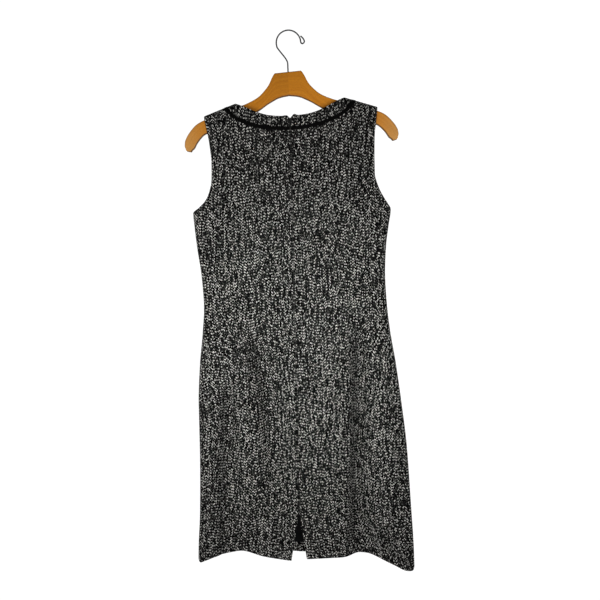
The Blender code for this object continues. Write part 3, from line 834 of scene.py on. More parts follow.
    def shoulder_z(self, x: Array, inset: float) -> Array:
        """Height of the shoulder seam, a straight slope, lowered by the inset."""
        return self.neck_point_z - self.shoulder_slope * (np.abs(x) - self.neck_point_out) - inset

    def slit_edge(self, panel: Panel, side: Side, z: Array) -> Array:
        """The centre edge of a half panel: a seam, and an open slit below.

        Args:
            panel: the face of the dress; the front has no slit.
            side: the half of the dress.
            z: height.

        Returns:
            Distance of the edge from the centre line.
        """
        if panel is Panel.FRONT:
            return np.zeros_like(z)
        share = (self.slit_top_z - z) / (self.slit_top_z - self.slit_hem_z)
        return self.seam_gap / 2 + self.slit_open[side] * np.clip(share, 0.0, self.slit_reach)

    def cloth_y(self, panel: Panel, side: Side, x: Array, z: Array, inset: float) -> Array:
        """Depth of the cloth at (x, z).

        Formula: a lens across the width, rounded over the shoulder seam by a quarter
        circle, swung by the side seams, less the folds and the fine creases.

        Args:
            panel: the face of the dress.
            side: the half of the dress.
            x: out of the centre line.
            z: height.
            inset: metres towards the hollow.

        Returns:
            Y of every point.
        """
        share = np.clip(np.abs(x) / (self.half_width(side, z) - inset), 0.0, 1.0)
        middle = self.read("depths", z, 1 if panel is Panel.BACK else 2) - inset
        gap = self.read("depths", z, 3)
        gap = np.maximum(gap - inset * (z > self.underarm_z), self.seam_gap / 2)
        edge_round = self.read("depths", z, 4)
        bulge = np.maximum(1.0 - share ** self.lens_power[panel], 0.0) ** (1.0 / edge_round)
        stand = gap + (middle - gap) * bulge
        below = np.clip((self.shoulder_z(x, inset) - z) / self.arch, 0.0, 1.0)
        roof = np.sqrt(np.maximum(1.0 - (1.0 - below) ** 2, 0.0))
        stand = self.seam_gap / 2 + (stand - self.seam_gap / 2) * roof
        seam_y = self.read("side_seams", z, 1 if side is Side.LEFT else 2)
        folds = self.back_folds if panel is Panel.BACK else self.front_folds
        large = sum(fold.relief(x, z, self.fold_foot_z) for fold in folds)
        large = large * (1.0 - share**self.fold_edge_power)
        fine = self.fine_relief(panel, x, z) * (1.0 - share**self.fine_edge_power)
        return panel.value * (stand - large - fine) + seam_y * share**2

    def fine_relief(self, panel: Panel, x: Array, z: Array) -> Array:
        """Small creases, the pucker beside the zip seam and a faint unevenness.

        Formula: the creases' sum; waves across and down, each swayed by the other
        way; and an S that fades them all below the neck seam.

        Args:
            panel: the face of the dress.
            x: out of the centre line.
            z: height.

        Returns:
            How far the cloth is pushed in at every point.
        """
        creases = self.back_creases if panel is Panel.BACK else self.front_creases
        total = sum((crease.relief(x, z) for crease in creases), np.zeros_like(x))
        across, across_sway, down, down_sway = self.uneven_turns
        across_wave = np.sin(x * across + self.uneven_sway[0] * np.sin(z * across_sway))
        down_wave = np.sin(z * down + self.uneven_sway[1] * np.sin(x * down_sway))
        total = total + self.uneven_deep * across_wave * down_wave
        if panel is Panel.BACK:
            total = total + self.pucker.relief(x, z)
        top = self.fine_top_z[panel]
        return total * (1.0 - smoothstep(z, top - self.fine_fade, top))

    def hang(self, x: Array, y: Array, z: Array) -> Array:
        """Points of the cloth, with the lean that fades out down to the underarms."""
        lean = math.tan(self.tilt) * x * smoothstep(z, self.underarm_z, self.tilt_full_z)
        return np.stack(np.broadcast_arrays(x, y, z + lean), axis=-1)

    def neck_line(self, panel: Panel, share: Array, edge: bool, inset: float) -> tuple[Array, Array]:
        """The neck edge, or the neck seam below it.

        Args:
            panel: the face of the dress.
            share: from the centre (0) to the shoulder seam (1).
            edge: True for the edge, False for the seam.
            inset: metres towards the hollow.

        Returns:
            Out of the centre line, and height.
        """
        place = (1 if panel is Panel.BACK else 3) + (0 if edge else 1)
        out = (self.neck_point_out if edge else self.seam_point_out) * share
        z = self.read("neck", share, place) - inset * share**self.inset_power
        if edge and panel is Panel.BACK:
            z = z - self.notch_deep * np.clip(1.0 - share / self.notch_share, 0.0, 1.0)
        return out, z

    def neck_strip(
        self, panel: Panel, share: Array, across: Array, inset: float
    ) -> tuple[Array, Array, Array]:
        """Points beside the neck seam.

        Args:
            panel: the face of the dress.
            share: from the centre (0) to the shoulder seam (1).
            across: metres from the seam, towards the neck edge.
            inset: metres towards the hollow.

        Returns:
            Out, z, and the strip's whole width at each share.
        """
        seam_out, seam_z = self.neck_line(panel, share, False, inset)
        edge_out, edge_z = self.neck_line(panel, share, True, inset)
        long = np.hypot(edge_out - seam_out, edge_z - seam_z)
        out = seam_out + (edge_out - seam_out) / long * across
        z = seam_z + (edge_z - seam_z) / long * across
        return out, z, long

    def place(self, panel: Panel, side: Side, x: Array, z: Array, inset: float) -> Array:
        """Points of the cloth at (x, z), rows x columns x 3."""
        x, z = np.broadcast_arrays(x, z)
        return self.hang(x, self.cloth_y(panel, side, x, z, inset), z)


# ---------------- finishes
class Graph:
    """A material being mixed: its nodes, their links and its Principled shader."""

    def __init__(self, name: str) -> None:
        """Starts a material with one Principled shader.

        Args:
            name: the material's name.
        """
        self.material = bpy.data.materials.new(name)
        self.material.use_nodes = True
        self.tree = self.material.node_tree
        self.shader = self.tree.nodes["Principled BSDF"]

    def put(self, socket: Socket, value: Any) -> None:
        """Links a socket to another, or sets its own value.

        Args:
            socket: the input to fill.
            value: an output to link to it, or its own value.
        """
        if isinstance(value, Socket):
            self.tree.links.new(value, socket)
        else:
            socket.default_value = value

    def add(self, kind: str, inputs: dict[Any, Any], **settings: Any) -> bpy.types.Node:
        """Adds a node.

        Args:
            kind: the node's type, without its ShaderNode prefix.
            inputs: a value or a socket for each named or numbered input.
            settings: the node's own properties.

        Returns:
            The new node.
        """
        node = self.tree.nodes.new("ShaderNode" + kind)
        for key, value in settings.items():
            setattr(node, key, value)
        for key, value in inputs.items():
            self.put(node.inputs[key], value)
        return node

    def where(self, coordinates: str = "UV") -> Socket:
        """The place on the surface, in one kind of coordinates."""
        return self.add("TexCoord", {}).outputs[coordinates]

    def math(self, operation: str, *values: Any) -> Socket:
        """Result of a Math node on sockets or numbers."""
        return self.add("Math", dict(enumerate(values)), operation=operation).outputs[0]

    def plus(self, first: Any, second: Any) -> Socket:
        """Sum of two sockets or numbers."""
        return self.math("ADD", first, second)

    def minus(self, first: Any, second: Any) -> Socket:
        """What is left of the first socket or number without the second."""
        return self.math("SUBTRACT", first, second)

    def times(self, first: Any, second: Any) -> Socket:
        """Product of two sockets or numbers."""
        return self.math("MULTIPLY", first, second)

    def wave(self, along: Socket, pitch: float) -> Socket:
        """A sine with one turn for each pitch, from -1 to 1."""
        return self.math("SINE", self.times(along, 2.0 * math.pi / pitch))

    def vector(self, operation: str, inputs: dict[Any, Any]) -> Socket:
        """Result of a Vector Math node."""
        return self.add("VectorMath", inputs, operation=operation).outputs[0]

    def mix(self, share: Any, first: Any, second: Any) -> Socket:
        """Number between two others, by a share."""
        return self.add("Mix", {0: share, 2: first, 3: second}, data_type="FLOAT").outputs[0]

    def mix_colour(self, share: Any, first: Any, second: Any) -> Socket:
        """Colour between two others, by a share."""
        return self.add("Mix", {0: share, 6: first, 7: second}, data_type="RGBA").outputs[2]

    def ramp(self, value: Socket, *stops: tuple[float, Colour]) -> Socket:
        """Colour ramp with a stop at each given place.

        Args:
            value: where on the ramp.
            stops: place and colour of each stop, in order.

        Returns:
            The colour.
        """
        node = self.add("ValToRGB", {0: value})
        points = node.color_ramp.elements
        points[0].position, points[0].color = stops[0][0], (*stops[0][1], 1.0)
        points[1].position, points[1].color = stops[-1][0], (*stops[-1][1], 1.0)
        for place, colour in stops[1:-1]:
            points.new(place).color = (*colour, 1.0)
        return node.outputs[0]

    def bank(self, value: Any) -> Socket:
        """Distance from the middle of a unit cell, 0 there and 1 at both ends."""
        return self.math("ABSOLUTE", self.minus(self.times(value, 2.0), 1.0))

    def chance(self, x: Any, y: Any, z: Any) -> Socket:
        """A random number from 0 to 1 for each whole-numbered place."""
        place = self.add("CombineXYZ", {0: x, 1: y, 2: z}).outputs[0]
        return self.add("TexWhiteNoise", {0: place}, noise_dimensions="3D").outputs["Value"]

    def noise(self, where: Socket, scale: float, detail: float, roughness: float = 0.5) -> Socket:
        """Smooth noise from 0 to 1."""
        inputs = {"Vector": where, "Scale": scale, "Detail": detail, "Roughness": roughness}
        return self.add("TexNoise", inputs, noise_dimensions="3D").outputs["Fac"]

    def stretched(self, where: Socket, scale: Triple) -> Socket:
        """The place, scaled differently each way."""
        return self.add("Mapping", {"Vector": where, "Scale": scale}).outputs[0]

    def bump(self, height: Socket, distance: float, strength: float = 1.0) -> None:
        """Gives the shader a bump from a height."""
        node = self.add("Bump", {"Height": height, "Distance": distance, "Strength": strength})
        self.put(self.shader.inputs["Normal"], node.outputs[0])

    def surface(self, **values: Any) -> None:
        """Sets or links the shader's inputs; an underline in a name stands for a space."""
        for key, value in values.items():
            self.put(self.shader.inputs[key.replace("_", " ")], value)


@dataclass(frozen=True)
class Tweed:
    """Black and ivory wool tweed, loosely woven from uneven, nubby yarns.

    Attributes:
        pitch_across: width of a warp yarn.
        pitch_along: width of a weft yarn.
        repeat: weft yarns from one float of a warp yarn to its next.
        float_length: length of a warp float, in weft yarns.
        run: floats over which a warp yarn keeps its shade.
        marl: how far the shade still changes from float to float, 0 to 1.
        contrast: how far a warp yarn's shade is kept from that of a near one.
        near: which yarn along that is.
        weft_share: lightness of the weft against the warp.
        start_draw: number of a random draw, as are the other draws.
        gap_light: lightness left in the painted shade of the gaps between the yarns.
        stops: shades at which these four colours are reached.
    """

    pitch_across: float = 0.0014
    pitch_along: float = 0.00196
    repeat: float = 3.0
    float_length: float = 1.3
    run: float = 2.0
    marl: float = 0.55
    contrast: float = 0.18
    near: float = 3.0
    weft_share: float = 0.55
    start_draw: tuple[float, float] = (5.0, 9.0)
    run_draw: float = 4.0
    float_draw: float = 5.0
    weft_draw: float = 8.0
    stray: float = 0.0014
    stray_scale: float = 330.0
    roll_power: float = 2.4
    end_power: float = 3.0
    end_fall: float = 0.7
    warp_fuzz: Triple = (2600.0, 700.0, 1.0)
    weft_fuzz: Triple = (700.0, 2600.0, 1.0)
    fuzz_detail: tuple[float, float] = (3.0, 0.6)
    nub_scale: float = 420.0
    pillow_rise: float = 0.6
    pillow_shade_power: float = 0.5
    fuzz_rise: float = 0.35
    nub_rise: float = 0.5
    fuzz_tone: float = 0.60
    nub_tone: float = 0.08
    patch_scale: float = 26.0
    patch_stretch: Triple = (1.0, 0.35, 1.0)
    patch_tone: float = 0.04
    gap_light: float = 0.40
    black: Colour = (0.0004, 0.0004, 0.0006)
    grey: Colour = (0.0090, 0.0090, 0.0088)
    cream: Colour = (0.110, 0.109, 0.103)
    ivory: Colour = (0.660, 0.652, 0.619)
    stops: tuple[float, ...] = (0.18, 0.41, 0.54, 0.64)
    relief: float = 0.0007
    roughness: float = 0.95
    specular: float = 0.01

    def make(self) -> Material:
        """Mixes the cloth.

        Formula: a warp yarn shows in one cell of every repeat, at a height that is its
        own, and the weft shows in the others. A yarn's shade is a random number that
        holds for a few cells along it, a float is a rounded pillow, and a painted shade
        darkens each float towards its edges and the gaps between floats.

        Returns:
            The material.
        """
        g = Graph("tweed")
        where = g.where()
        wander = g.add("TexNoise", {"Vector": where, "Scale": self.stray_scale, "Detail": 1.0})
        drift = g.vector("SUBTRACT", {0: wander.outputs["Color"], 1: (0.5, 0.5, 0.5)})
        drift = g.vector("SCALE", {0: drift, "Scale": self.stray})
        shifted = g.vector("ADD", {0: where, 1: drift})
        split = g.add("SeparateXYZ", {0: shifted})
        across = g.math("DIVIDE", split.outputs[0], self.pitch_across)
        along = g.math("DIVIDE", split.outputs[1], self.pitch_along)
        warp = g.math("FLOOR", across)
        weft = g.math("FLOOR", along)
        travel = g.plus(along, g.times(g.chance(warp, *self.start_draw), self.repeat))
        rise = g.math("FLOOR", g.math("DIVIDE", travel, self.repeat))
        in_rise = g.math("DIVIDE", g.math("FLOORED_MODULO", travel, self.repeat), self.float_length)
        over = g.math("LESS_THAN", in_rise, 1.0)

        run = g.math("FLOOR", g.math("DIVIDE", rise, self.run))
        own = g.mix(self.marl, g.chance(warp, run, self.run_draw), g.chance(warp, rise, self.float_draw))
        aside = g.minus(0.5, g.chance(g.plus(warp, self.near), run, self.run_draw))
        warp_shade = g.plus(own, g.times(aside, self.contrast))
        weft_shade = g.times(g.chance(warp, weft, self.weft_draw), self.weft_share)
        shade = g.mix(over, weft_shade, warp_shade)

        side_across = g.bank(g.minus(across, warp))
        side_along = g.bank(g.minus(along, weft))
        short = g.mix(over, side_along, side_across)
        long = g.mix(over, side_across, g.bank(in_rise))
        roll = g.math("POWER", short, self.roll_power)
        ends = g.times(g.math("POWER", long, self.end_power), self.end_fall)
        pillow = g.math("MAXIMUM", g.minus(1.0, g.plus(roll, ends)), 0.0)
        warp_fuzz = g.noise(g.stretched(where, self.warp_fuzz), 1.0, *self.fuzz_detail)
        weft_fuzz = g.noise(g.stretched(where, self.weft_fuzz), 1.0, *self.fuzz_detail)
        fuzz = g.mix(over, weft_fuzz, warp_fuzz)
        nub = g.noise(shifted, self.nub_scale, 1.0)
        height = g.plus(g.math("POWER", pillow, self.pillow_rise), g.times(fuzz, self.fuzz_rise))
        height = g.plus(height, g.times(nub, self.nub_rise))
        fibre = g.times(g.minus(fuzz, 0.5), self.fuzz_tone)
        loop = g.times(g.minus(nub, 0.5), self.nub_tone)
        tone = g.plus(g.plus(shade, fibre), loop)
        patch = g.noise(g.stretched(where, self.patch_stretch), self.patch_scale, 2.0)
        tone = g.plus(tone, g.times(g.minus(patch, 0.5), self.patch_tone))
        # painted shade: the colour darkens from each float's middle towards its edges and into the gaps
        # between floats
        rounded = g.times(g.math("POWER", pillow, self.pillow_shade_power), 1.0 - self.gap_light)
        tone = g.times(tone, g.plus(self.gap_light, rounded))
        colour = g.ramp(tone, *zip(self.stops, (self.black, self.grey, self.cream, self.ivory)))
        g.bump(height, self.relief)
        g.surface(Base_Color=colour, Roughness=self.roughness, Specular_IOR_Level=self.specular)
        return g.material


@dataclass(frozen=True)
class Braid:
    """Black woven trim with slanted ribs either side of its middle."""

    rib: float = 0.0016
    slant: float = 0.8
    fibre_scale: float = 1800.0
    fibre_rise: float = 0.8
    rib_tone: float = 0.25
    black: Colour = (0.0010, 0.0010, 0.0010)
    worn: Colour = (0.0032, 0.0031, 0.0029)
    relief: float = 0.00022
    roughness: float = 0.72
    specular: float = 0.03

    def make(self) -> Material:
        """Mixes the trim.

        Formula: a sine of the length along the trim plus the slanted distance from its
        middle, under fine fibres.

        Returns:
            The material, whose UV runs across it from its middle (u) and along it (v).
        """
        g = Graph("braid")
        where = g.where()
        split = g.add("SeparateXYZ", {0: where})
        slant = g.plus(split.outputs[1], g.times(g.math("ABSOLUTE", split.outputs[0]), self.slant))
        rib = g.wave(slant, self.rib)
        fibre = g.noise(where, self.fibre_scale, 2.0)
        g.bump(g.plus(rib, g.times(fibre, self.fibre_rise)), self.relief)
        tone = g.plus(g.times(rib, self.rib_tone), fibre)
        g.surface(Base_Color=g.ramp(tone, (0.25, self.black), (0.85, self.worn)))
        g.surface(Roughness=self.roughness, Specular_IOR_Level=self.specular)
        return g.material


@dataclass(frozen=True)
class Lining:
    """Black twill-woven silky lining."""

    twill: float = 0.0006
    twill_rise: float = 0.03
    crumple_scale: float = 38.0
    black: Colour = (0.0006, 0.0006, 0.0008)
    soft: Colour = (0.0018, 0.0018, 0.0023)
    relief: float = 0.0014
    relief_share: float = 0.8
    roughness: float = 0.50
    specular: float = 0.05

    def make(self) -> Material:
        """Mixes the lining: fine diagonal threads over soft crumples.

        Returns:
            The material.
        """
        g = Graph("lining")
        where = g.where()
        split = g.add("SeparateXYZ", {0: where})
        twill = g.wave(g.plus(split.outputs[0], split.outputs[1]), self.twill)
        crumple = g.noise(where, self.crumple_scale, 3.0)
        g.bump(g.plus(g.times(twill, self.twill_rise), crumple), self.relief, self.relief_share)
        g.surface(Base_Color=g.ramp(crumple, (0.3, self.black), (0.7, self.soft)))
        g.surface(Roughness=self.roughness, Specular_IOR_Level=self.specular)
        return g.material


def shaded(colour: Colour, share: float) -> Colour:
    """A colour times a share, and no channel over 1."""
    return tuple(min(1.0, share * c) for c in colour)


@dataclass(frozen=True)
class Wood:
    """Varnished pale wood, amber along the arm and lighter towards its tip."""

    dark: Colour = (0.398, 0.130, 0.0050)
    light: Colour = (0.552, 0.206, 0.0100)
    tip: Colour = (0.520, 0.252, 0.062)
    tip_dark: float = 0.8
    # painted shade: a dark brown laid along the hanger's rounded edges, where they turn from the light,
    # strongest underneath
    edge: Colour = (0.040, 0.014, 0.003)
    painted_edge_share: float = 0.85
    tip_start: float = 0.175
    tip_full: float = 0.270
    sway: float = 0.010
    sway_scale: float = 9.0
    growth_scale: Triple = (6.0, 210.0, 1.0)
    fibre_scale: Triple = (60.0, 1400.0, 1.0)
    pore_scale: Triple = (260.0, 1500.0, 1.0)
    pore_share: float = 0.35
    pore_dark: float = 0.45
    pore_deep: float = 0.5
    growth_tone: float = 0.75
    fibre_tone: float = 0.35
    tone_stops: tuple[float, float] = (0.30, 0.80)
    relief: float = 0.00008
    roughness: float = 0.34
    roughness_more: float = 0.14
    coat: float = 0.10
    coat_roughness: float = 0.18
    specular: float = 0.12

    def make(self, name: str, shade: float) -> Material:
        """Mixes one half's wood.

        Formula: long rings and finer fibres, both stretched along the arm, choose
        between two colours; the tip's colours, the pores and a painted shade along the
        edges lie over them.

        Args:
            name: the material's name.
            shade: this half's brightness beside the other's.

        Returns:
            The material, whose UV runs along the arm (u) and round it (v), in metres.
        """
        g = Graph(name)
        where = g.where()
        along = g.add("SeparateXYZ", {0: where}).outputs[0]
        sway = g.times(g.noise(where, self.sway_scale, 1.0), self.sway)
        swayed = g.vector("ADD", {0: where, 1: g.add("CombineXYZ", {1: sway}).outputs[0]})
        growth = g.noise(g.stretched(swayed, self.growth_scale), 1.0, 3.0, 0.6)
        fibre = g.noise(g.stretched(swayed, self.fibre_scale), 1.0, 2.0, 0.6)
        fleck = g.noise(g.stretched(swayed, self.pore_scale), 1.0, 0.0)
        pores = g.ramp(fleck, (0.60, (0.0, 0.0, 0.0)), (0.72, (1.0, 1.0, 1.0)))
        tone = g.plus(g.times(growth, self.growth_tone), g.times(fibre, self.fibre_tone))
        dark, light = shaded(self.dark, shade), shaded(self.light, shade)
        colour = g.ramp(tone, *zip(self.tone_stops, (dark, light)))
        reach = {0: along, 1: self.tip_start, 2: self.tip_full}
        outer = g.add("MapRange", reach, interpolation_type="SMOOTHSTEP").outputs[0]
        pale = g.ramp(tone, *zip(self.tone_stops, (shaded(self.tip, self.tip_dark), self.tip)))
        colour = g.mix_colour(outer, colour, pale)
        pore_colour = (*shaded(dark, self.pore_dark), 1.0)
        colour = g.mix_colour(g.times(pores, self.pore_share), colour, pore_colour)
        # painted shade: the mesh's edge attribute darkens the wood towards its edges
        edge = g.add("Attribute", {}, attribute_name="edge").outputs["Fac"]
        colour = g.mix_colour(g.times(edge, self.painted_edge_share), colour, (*self.edge, 1.0))
        g.bump(g.plus(fibre, g.times(pores, -self.pore_deep)), self.relief)
        rough = g.plus(self.roughness, g.times(fibre, self.roughness_more))
        g.surface(Base_Color=colour, Roughness=rough, Specular_IOR_Level=self.specular)
        g.surface(Coat_Weight=self.coat, Coat_Roughness=self.coat_roughness)
        return g.material


@dataclass(frozen=True)
class Metal:
    """Metal with fine drawn scratches and a mottled film."""

    name: str
    colour: Colour
    roughness: float
    metallic: float = 1.0
    specular: float = 0.5
    film_scale: float = 260.0
    film_light: float = 1.7
    film_rough: float = 0.16
    film_smooth: float = 0.06
    scratch_scale: Triple = (900.0, 900.0, 9000.0)
    relief: float = 0.00002

    def make(self) -> Material:
        """Mixes the metal on object coordinates.

        Returns:
            The material.
        """
        g = Graph(self.name)
        where = g.where("Object")
        film = g.noise(where, self.film_scale, 3.0)
        scratch = g.noise(g.stretched(where, self.scratch_scale), 1.0, 1.0)
        worn = shaded(self.colour, self.film_light)
        g.surface(Base_Color=g.ramp(film, (0.35, self.colour), (0.75, worn)), Metallic=self.metallic)
        rough = g.plus(self.roughness - self.film_smooth, g.times(film, self.film_rough))
        g.surface(Roughness=rough, Specular_IOR_Level=self.specular)
        g.bump(scratch, self.relief)
        return g.material


@dataclass(frozen=True)
class TapeWeave:
    """Black ribbed zip tape."""

    rib: float = 0.0009
    thread: float = 0.0007
    black: Colour = (0.004, 0.004, 0.004)
    worn: Colour = (0.012, 0.012, 0.012)
    relief: float = 0.00010
    roughness: float = 0.8

    def make(self) -> Material:
        """Mixes the tape: crosswise ribs times fine lengthwise threads.

        Returns:
            The material.
        """
        g = Graph("zip_tape_weave")
        split = g.add("SeparateXYZ", {0: g.where()})
        ribs = g.wave(split.outputs[1], self.rib)
        threads = g.wave(split.outputs[0], self.thread)
        weave = g.times(ribs, threads)
        g.bump(weave, self.relief)
        tone = g.plus(0.5, g.times(weave, 0.5))
        g.surface(Base_Color=g.ramp(tone, (0.0, self.black), (1.0, self.worn)))
        g.surface(Roughness=self.roughness)
        return g.material


@dataclass(frozen=True)
class Paint:
    """Matt studio paint for the floor."""

    colour: Colour = (0.90, 0.90, 0.90)
    patch_scale: float = 3.0
    patch_light: float = 1.01
    roughness: float = 0.9

    def make(self) -> Material:
        """Mixes the paint, with a faint unevenness.

        Returns:
            The material.
        """
        g = Graph("studio_paint")
        patch = g.noise(g.where("Object"), self.patch_scale, 2.0)
        lighter = shaded(self.colour, self.patch_light)
        g.surface(Base_Color=g.ramp(patch, (0.3, self.colour), (0.7, lighter)), Roughness=self.roughness)
        return g.material


class Finishes:
    """The dress's materials."""

    def __init__(self) -> None:
        """Mixes each material once."""
        self.tweed = Tweed().make()
        self.braid = Braid().make()
        self.lining = Lining().make()
        self.wood_left = Wood().make("wood_left", 0.94)
        self.wood_right = Wood().make("wood_right", 1.04)
        self.steel = Metal("hook_wire", (0.075, 0.077, 0.080), 0.34).make()
        self.enamel = Metal("black_enamel", (0.004, 0.004, 0.004), 0.42, 0.0, 0.08).make()
        self.nylon = Metal("black_nylon", (0.008, 0.008, 0.009), 0.45, 0.0, 0.25).make()
        self.tape = TapeWeave().make()


def dress_piece(
    piece: Object,
    materials: list[Material],
    body: Body,
    nodes: tuple[str, ...],
) -> Object:
    """Gives a new piece its materials and its place in the frame.

    Args:
        piece: the new object.
        materials: its materials, the main one first.
        body: the rigid body that it rides on.
        nodes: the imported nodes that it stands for.

    Returns:
        The same object.
    """
    for material in materials:
        piece.data.materials.append(material)
    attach(piece, body.value)
    if nodes:
        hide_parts(*nodes)
    LOG.info("%s: %d faces", piece.name, len(piece.data.polygons))
    return piece


def tweed_piece(piece: Object, finishes: Finishes, node: str) -> Object:
    """Dresses a piece of lined tweed that stands for one node."""
    return dress_piece(piece, [finishes.tweed, finishes.lining], Body.DRESS, (node,))


# ---------------- the cloth pieces
@dataclass
class Panels:
    """The two back panels and the front, cut from tweed and turned in at the edges."""

    form: DressForm
    finishes: Finishes
    hem_turn: float = 0.034
    slit_turn: float = 0.024
    slit_turn_top: float = -0.975
    slit_turn_fade: float = 0.010
    turned_extra: float = 0.0010
    step_wide: float = 0.0014
    far: float = 0.5
    edge_fade: float = 0.012
    slit_round: float = 0.9
    tip_z: float = -0.162
    corner_shares: tuple[float, ...] = (0.988, 0.996, 1.0)
    tail_power: float = 1.7
    neck_columns: int = 50
    shoulder_columns: int = 34
    skirt_rows: int = 270
    chest_rows: int = 68
    arch_rows: int = 8
    front_coarser: float = 0.78

    def steps(self, panel: Panel, number: int) -> Array:
        """Even steps from 0 to 1 on one face of the dress, fewer on the front."""
        coarser = self.front_coarser if panel is Panel.FRONT else 1.0
        return np.linspace(0.0, 1.0, round(number * coarser))

    def armhole(self, z: Array) -> Array:
        """0 below the underarms and 1 beside the armholes, with an S between."""
        return smoothstep(z, self.form.underarm_z, self.form.underarm_z + self.edge_fade)

    def columns(self, panel: Panel, side: Side) -> tuple[Array, Array]:
        """Share of the width, and top z, of each column of a half panel.

        Formula: even steps along the neck seam, then steps along the shoulder seam that
        close up towards the side edge, where the lens turns fastest.

        Args:
            panel: the face of the dress.
            side: the half of the dress.

        Returns:
            Shares and top heights.
        """
        form = self.form
        share = np.concatenate([self.steps(panel, self.neck_columns)[:-1], self.corner_shares])
        out, top, _ = form.neck_strip(panel, share, -form.seam_gap / 2, 0.0)
        near_tip = form.half_width(side, np.array(self.tip_z))
        tip = form.half_width(side, form.shoulder_z(near_tip, 0.0))
        tail = 1.0 - (1.0 - self.steps(panel, self.shoulder_columns)) ** self.tail_power
        shoulder = out[-1] + (tip - out[-1]) * tail[1:]
        out = np.concatenate([out, shoulder])
        top = np.concatenate([top, form.shoulder_z(shoulder, 0.0)])
        start = form.slit_edge(panel, side, top)
        part = (np.maximum(out, start) - start) / (form.half_width(side, top) - start)
        part[-1] = 1.0
        part[0] = 0.0
        return part, top

    def half_grid(self, panel: Panel, side: Side) -> tuple[Array, Array, Array]:
        """Face points of a half panel, rows from the hem to the top.

        Formula: rows in even steps up the skirt and up the chest, and in even turns
        over the arch at the shoulder. The cloth coordinates are lengths along it.

        Args:
            panel: the face of the dress.
            side: the half of the dress.

        Returns:
            Points, cloth coordinates in metres, and metres above the hem.
        """
        form = self.form
        part, top = self.columns(panel, side)
        place = (1 if panel is Panel.BACK else 3) + (0 if side is Side.LEFT else 1)
        roll = form.wall / 2
        hem = form.read("hem", part, place) + roll
        low = hem + (form.underarm_z - hem) * self.steps(panel, self.skirt_rows)[:, None]
        chest = self.steps(panel, self.chest_rows)[1:, None]
        mid = form.underarm_z + (top - form.arch - form.underarm_z) * chest
        turn = np.radians(90.0) * np.linspace(0.0, 1.0, self.arch_rows)[1:, None]
        high = top - form.arch * (1.0 - np.sin(turn))
        z = np.concatenate([low, mid, high])
        start = form.slit_edge(panel, side, z)
        if panel is Panel.BACK:
            start = start + roll * (1.0 - part)
        edge = form.half_width(side, z) - roll * self.armhole(z)
        x = side.value * (start + part * (edge - start))
        points = form.place(panel, side, x, z, 0.0)
        u = side.value * run_length(points * np.array([1.0, 1.0, 0.0]), 1)
        v = run_length(points * np.array([0.0, 1.0, 1.0]), 0)
        v = v - v[len(low) - 1] + form.underarm_z
        return points, np.stack([u, v], axis=-1), z - hem

    def roundness(self, points: Array, whole: bool) -> Array:
        """How round each border point's rim is: folded edges are, sewn ones hardly.

        Args:
            points: of the face.
            whole: True if the face spans both halves, with an armhole at each end.

        Returns:
            The roundness of every point, 0 to 1.
        """
        folded = self.armhole(points[..., 2])
        round_edge = np.zeros(points.shape[:2])
        round_edge[:, -1] = folded[:, -1]
        round_edge[:, 0] = folded[:, 0] if whole else self.slit_round
        round_edge[-1] = 0.0
        round_edge[0] = 1.0
        return round_edge

    def shell(self, points: Array, uv: Array, above_hem: Array, from_slit: Array, whole: bool) -> Shell:
        """A panel's wall, with the turned-in cloth at the hem and along the slit.

        Args:
            points: of the face.
            uv: cloth coordinates.
            above_hem: metres above the hem.
            from_slit: metres from the slit's edge.
            whole: True if the panel spans both halves.

        Returns:
            The shell, with tweed on the turnings' backs and lining above them.
        """
        hem = 1.0 - smoothstep(above_hem, self.hem_turn, self.hem_turn + self.step_wide)
        slit = 1.0 - smoothstep(from_slit, self.slit_turn, self.slit_turn + self.step_wide)
        turned = np.maximum(hem, slit)
        wall = self.form.wall + self.turned_extra * turned
        return Shell(points, wall, self.roundness(points, whole), uv, np.where(turned > 0.5, 0, 1))

    def build_back(self, side: Side) -> Object:
        """Makes one back panel.

        Args:
            side: the half of the dress.

        Returns:
            The new piece.
        """
        points, uv, above = self.half_grid(Panel.BACK, side)
        ended = smoothstep(points[..., 2], self.slit_turn_top, self.slit_turn_top + self.slit_turn_fade)
        shell = self.shell(points, uv, above, np.abs(uv[..., 0]) + self.far * ended, False)
        node = f"back_{side.name.lower()}"
        return tweed_piece(shell.build("tweed_" + node, Panel.BACK), self.finishes, node)

    def build_front(self) -> Object:
        """Makes the front in one piece, both halves.

        Returns:
            The new piece.
        """
        left = self.half_grid(Panel.FRONT, Side.LEFT)
        right = self.half_grid(Panel.FRONT, Side.RIGHT)
        points, uv, above = joined(left, right)
        shell = self.shell(points, uv, above, np.full_like(above, self.far), True)
        return tweed_piece(shell.build("tweed_front", Panel.FRONT), self.finishes, "front")

    def build(self) -> None:
        for side in Side:
            panel = self.build_back(side)
        front = self.build_front()


@dataclass(frozen=True)
class Strip:
    """A strip of cloth along the neck seam.

    Attributes:
        low: metres from the seam to its lower edge.
        high: metres from the seam to its upper edge, or None for the neck edge.
        rows: grid rows across it.
        inset: metres towards the hollow.
    """

    low: float
    high: float | None
    rows: int
    inset: float | Array


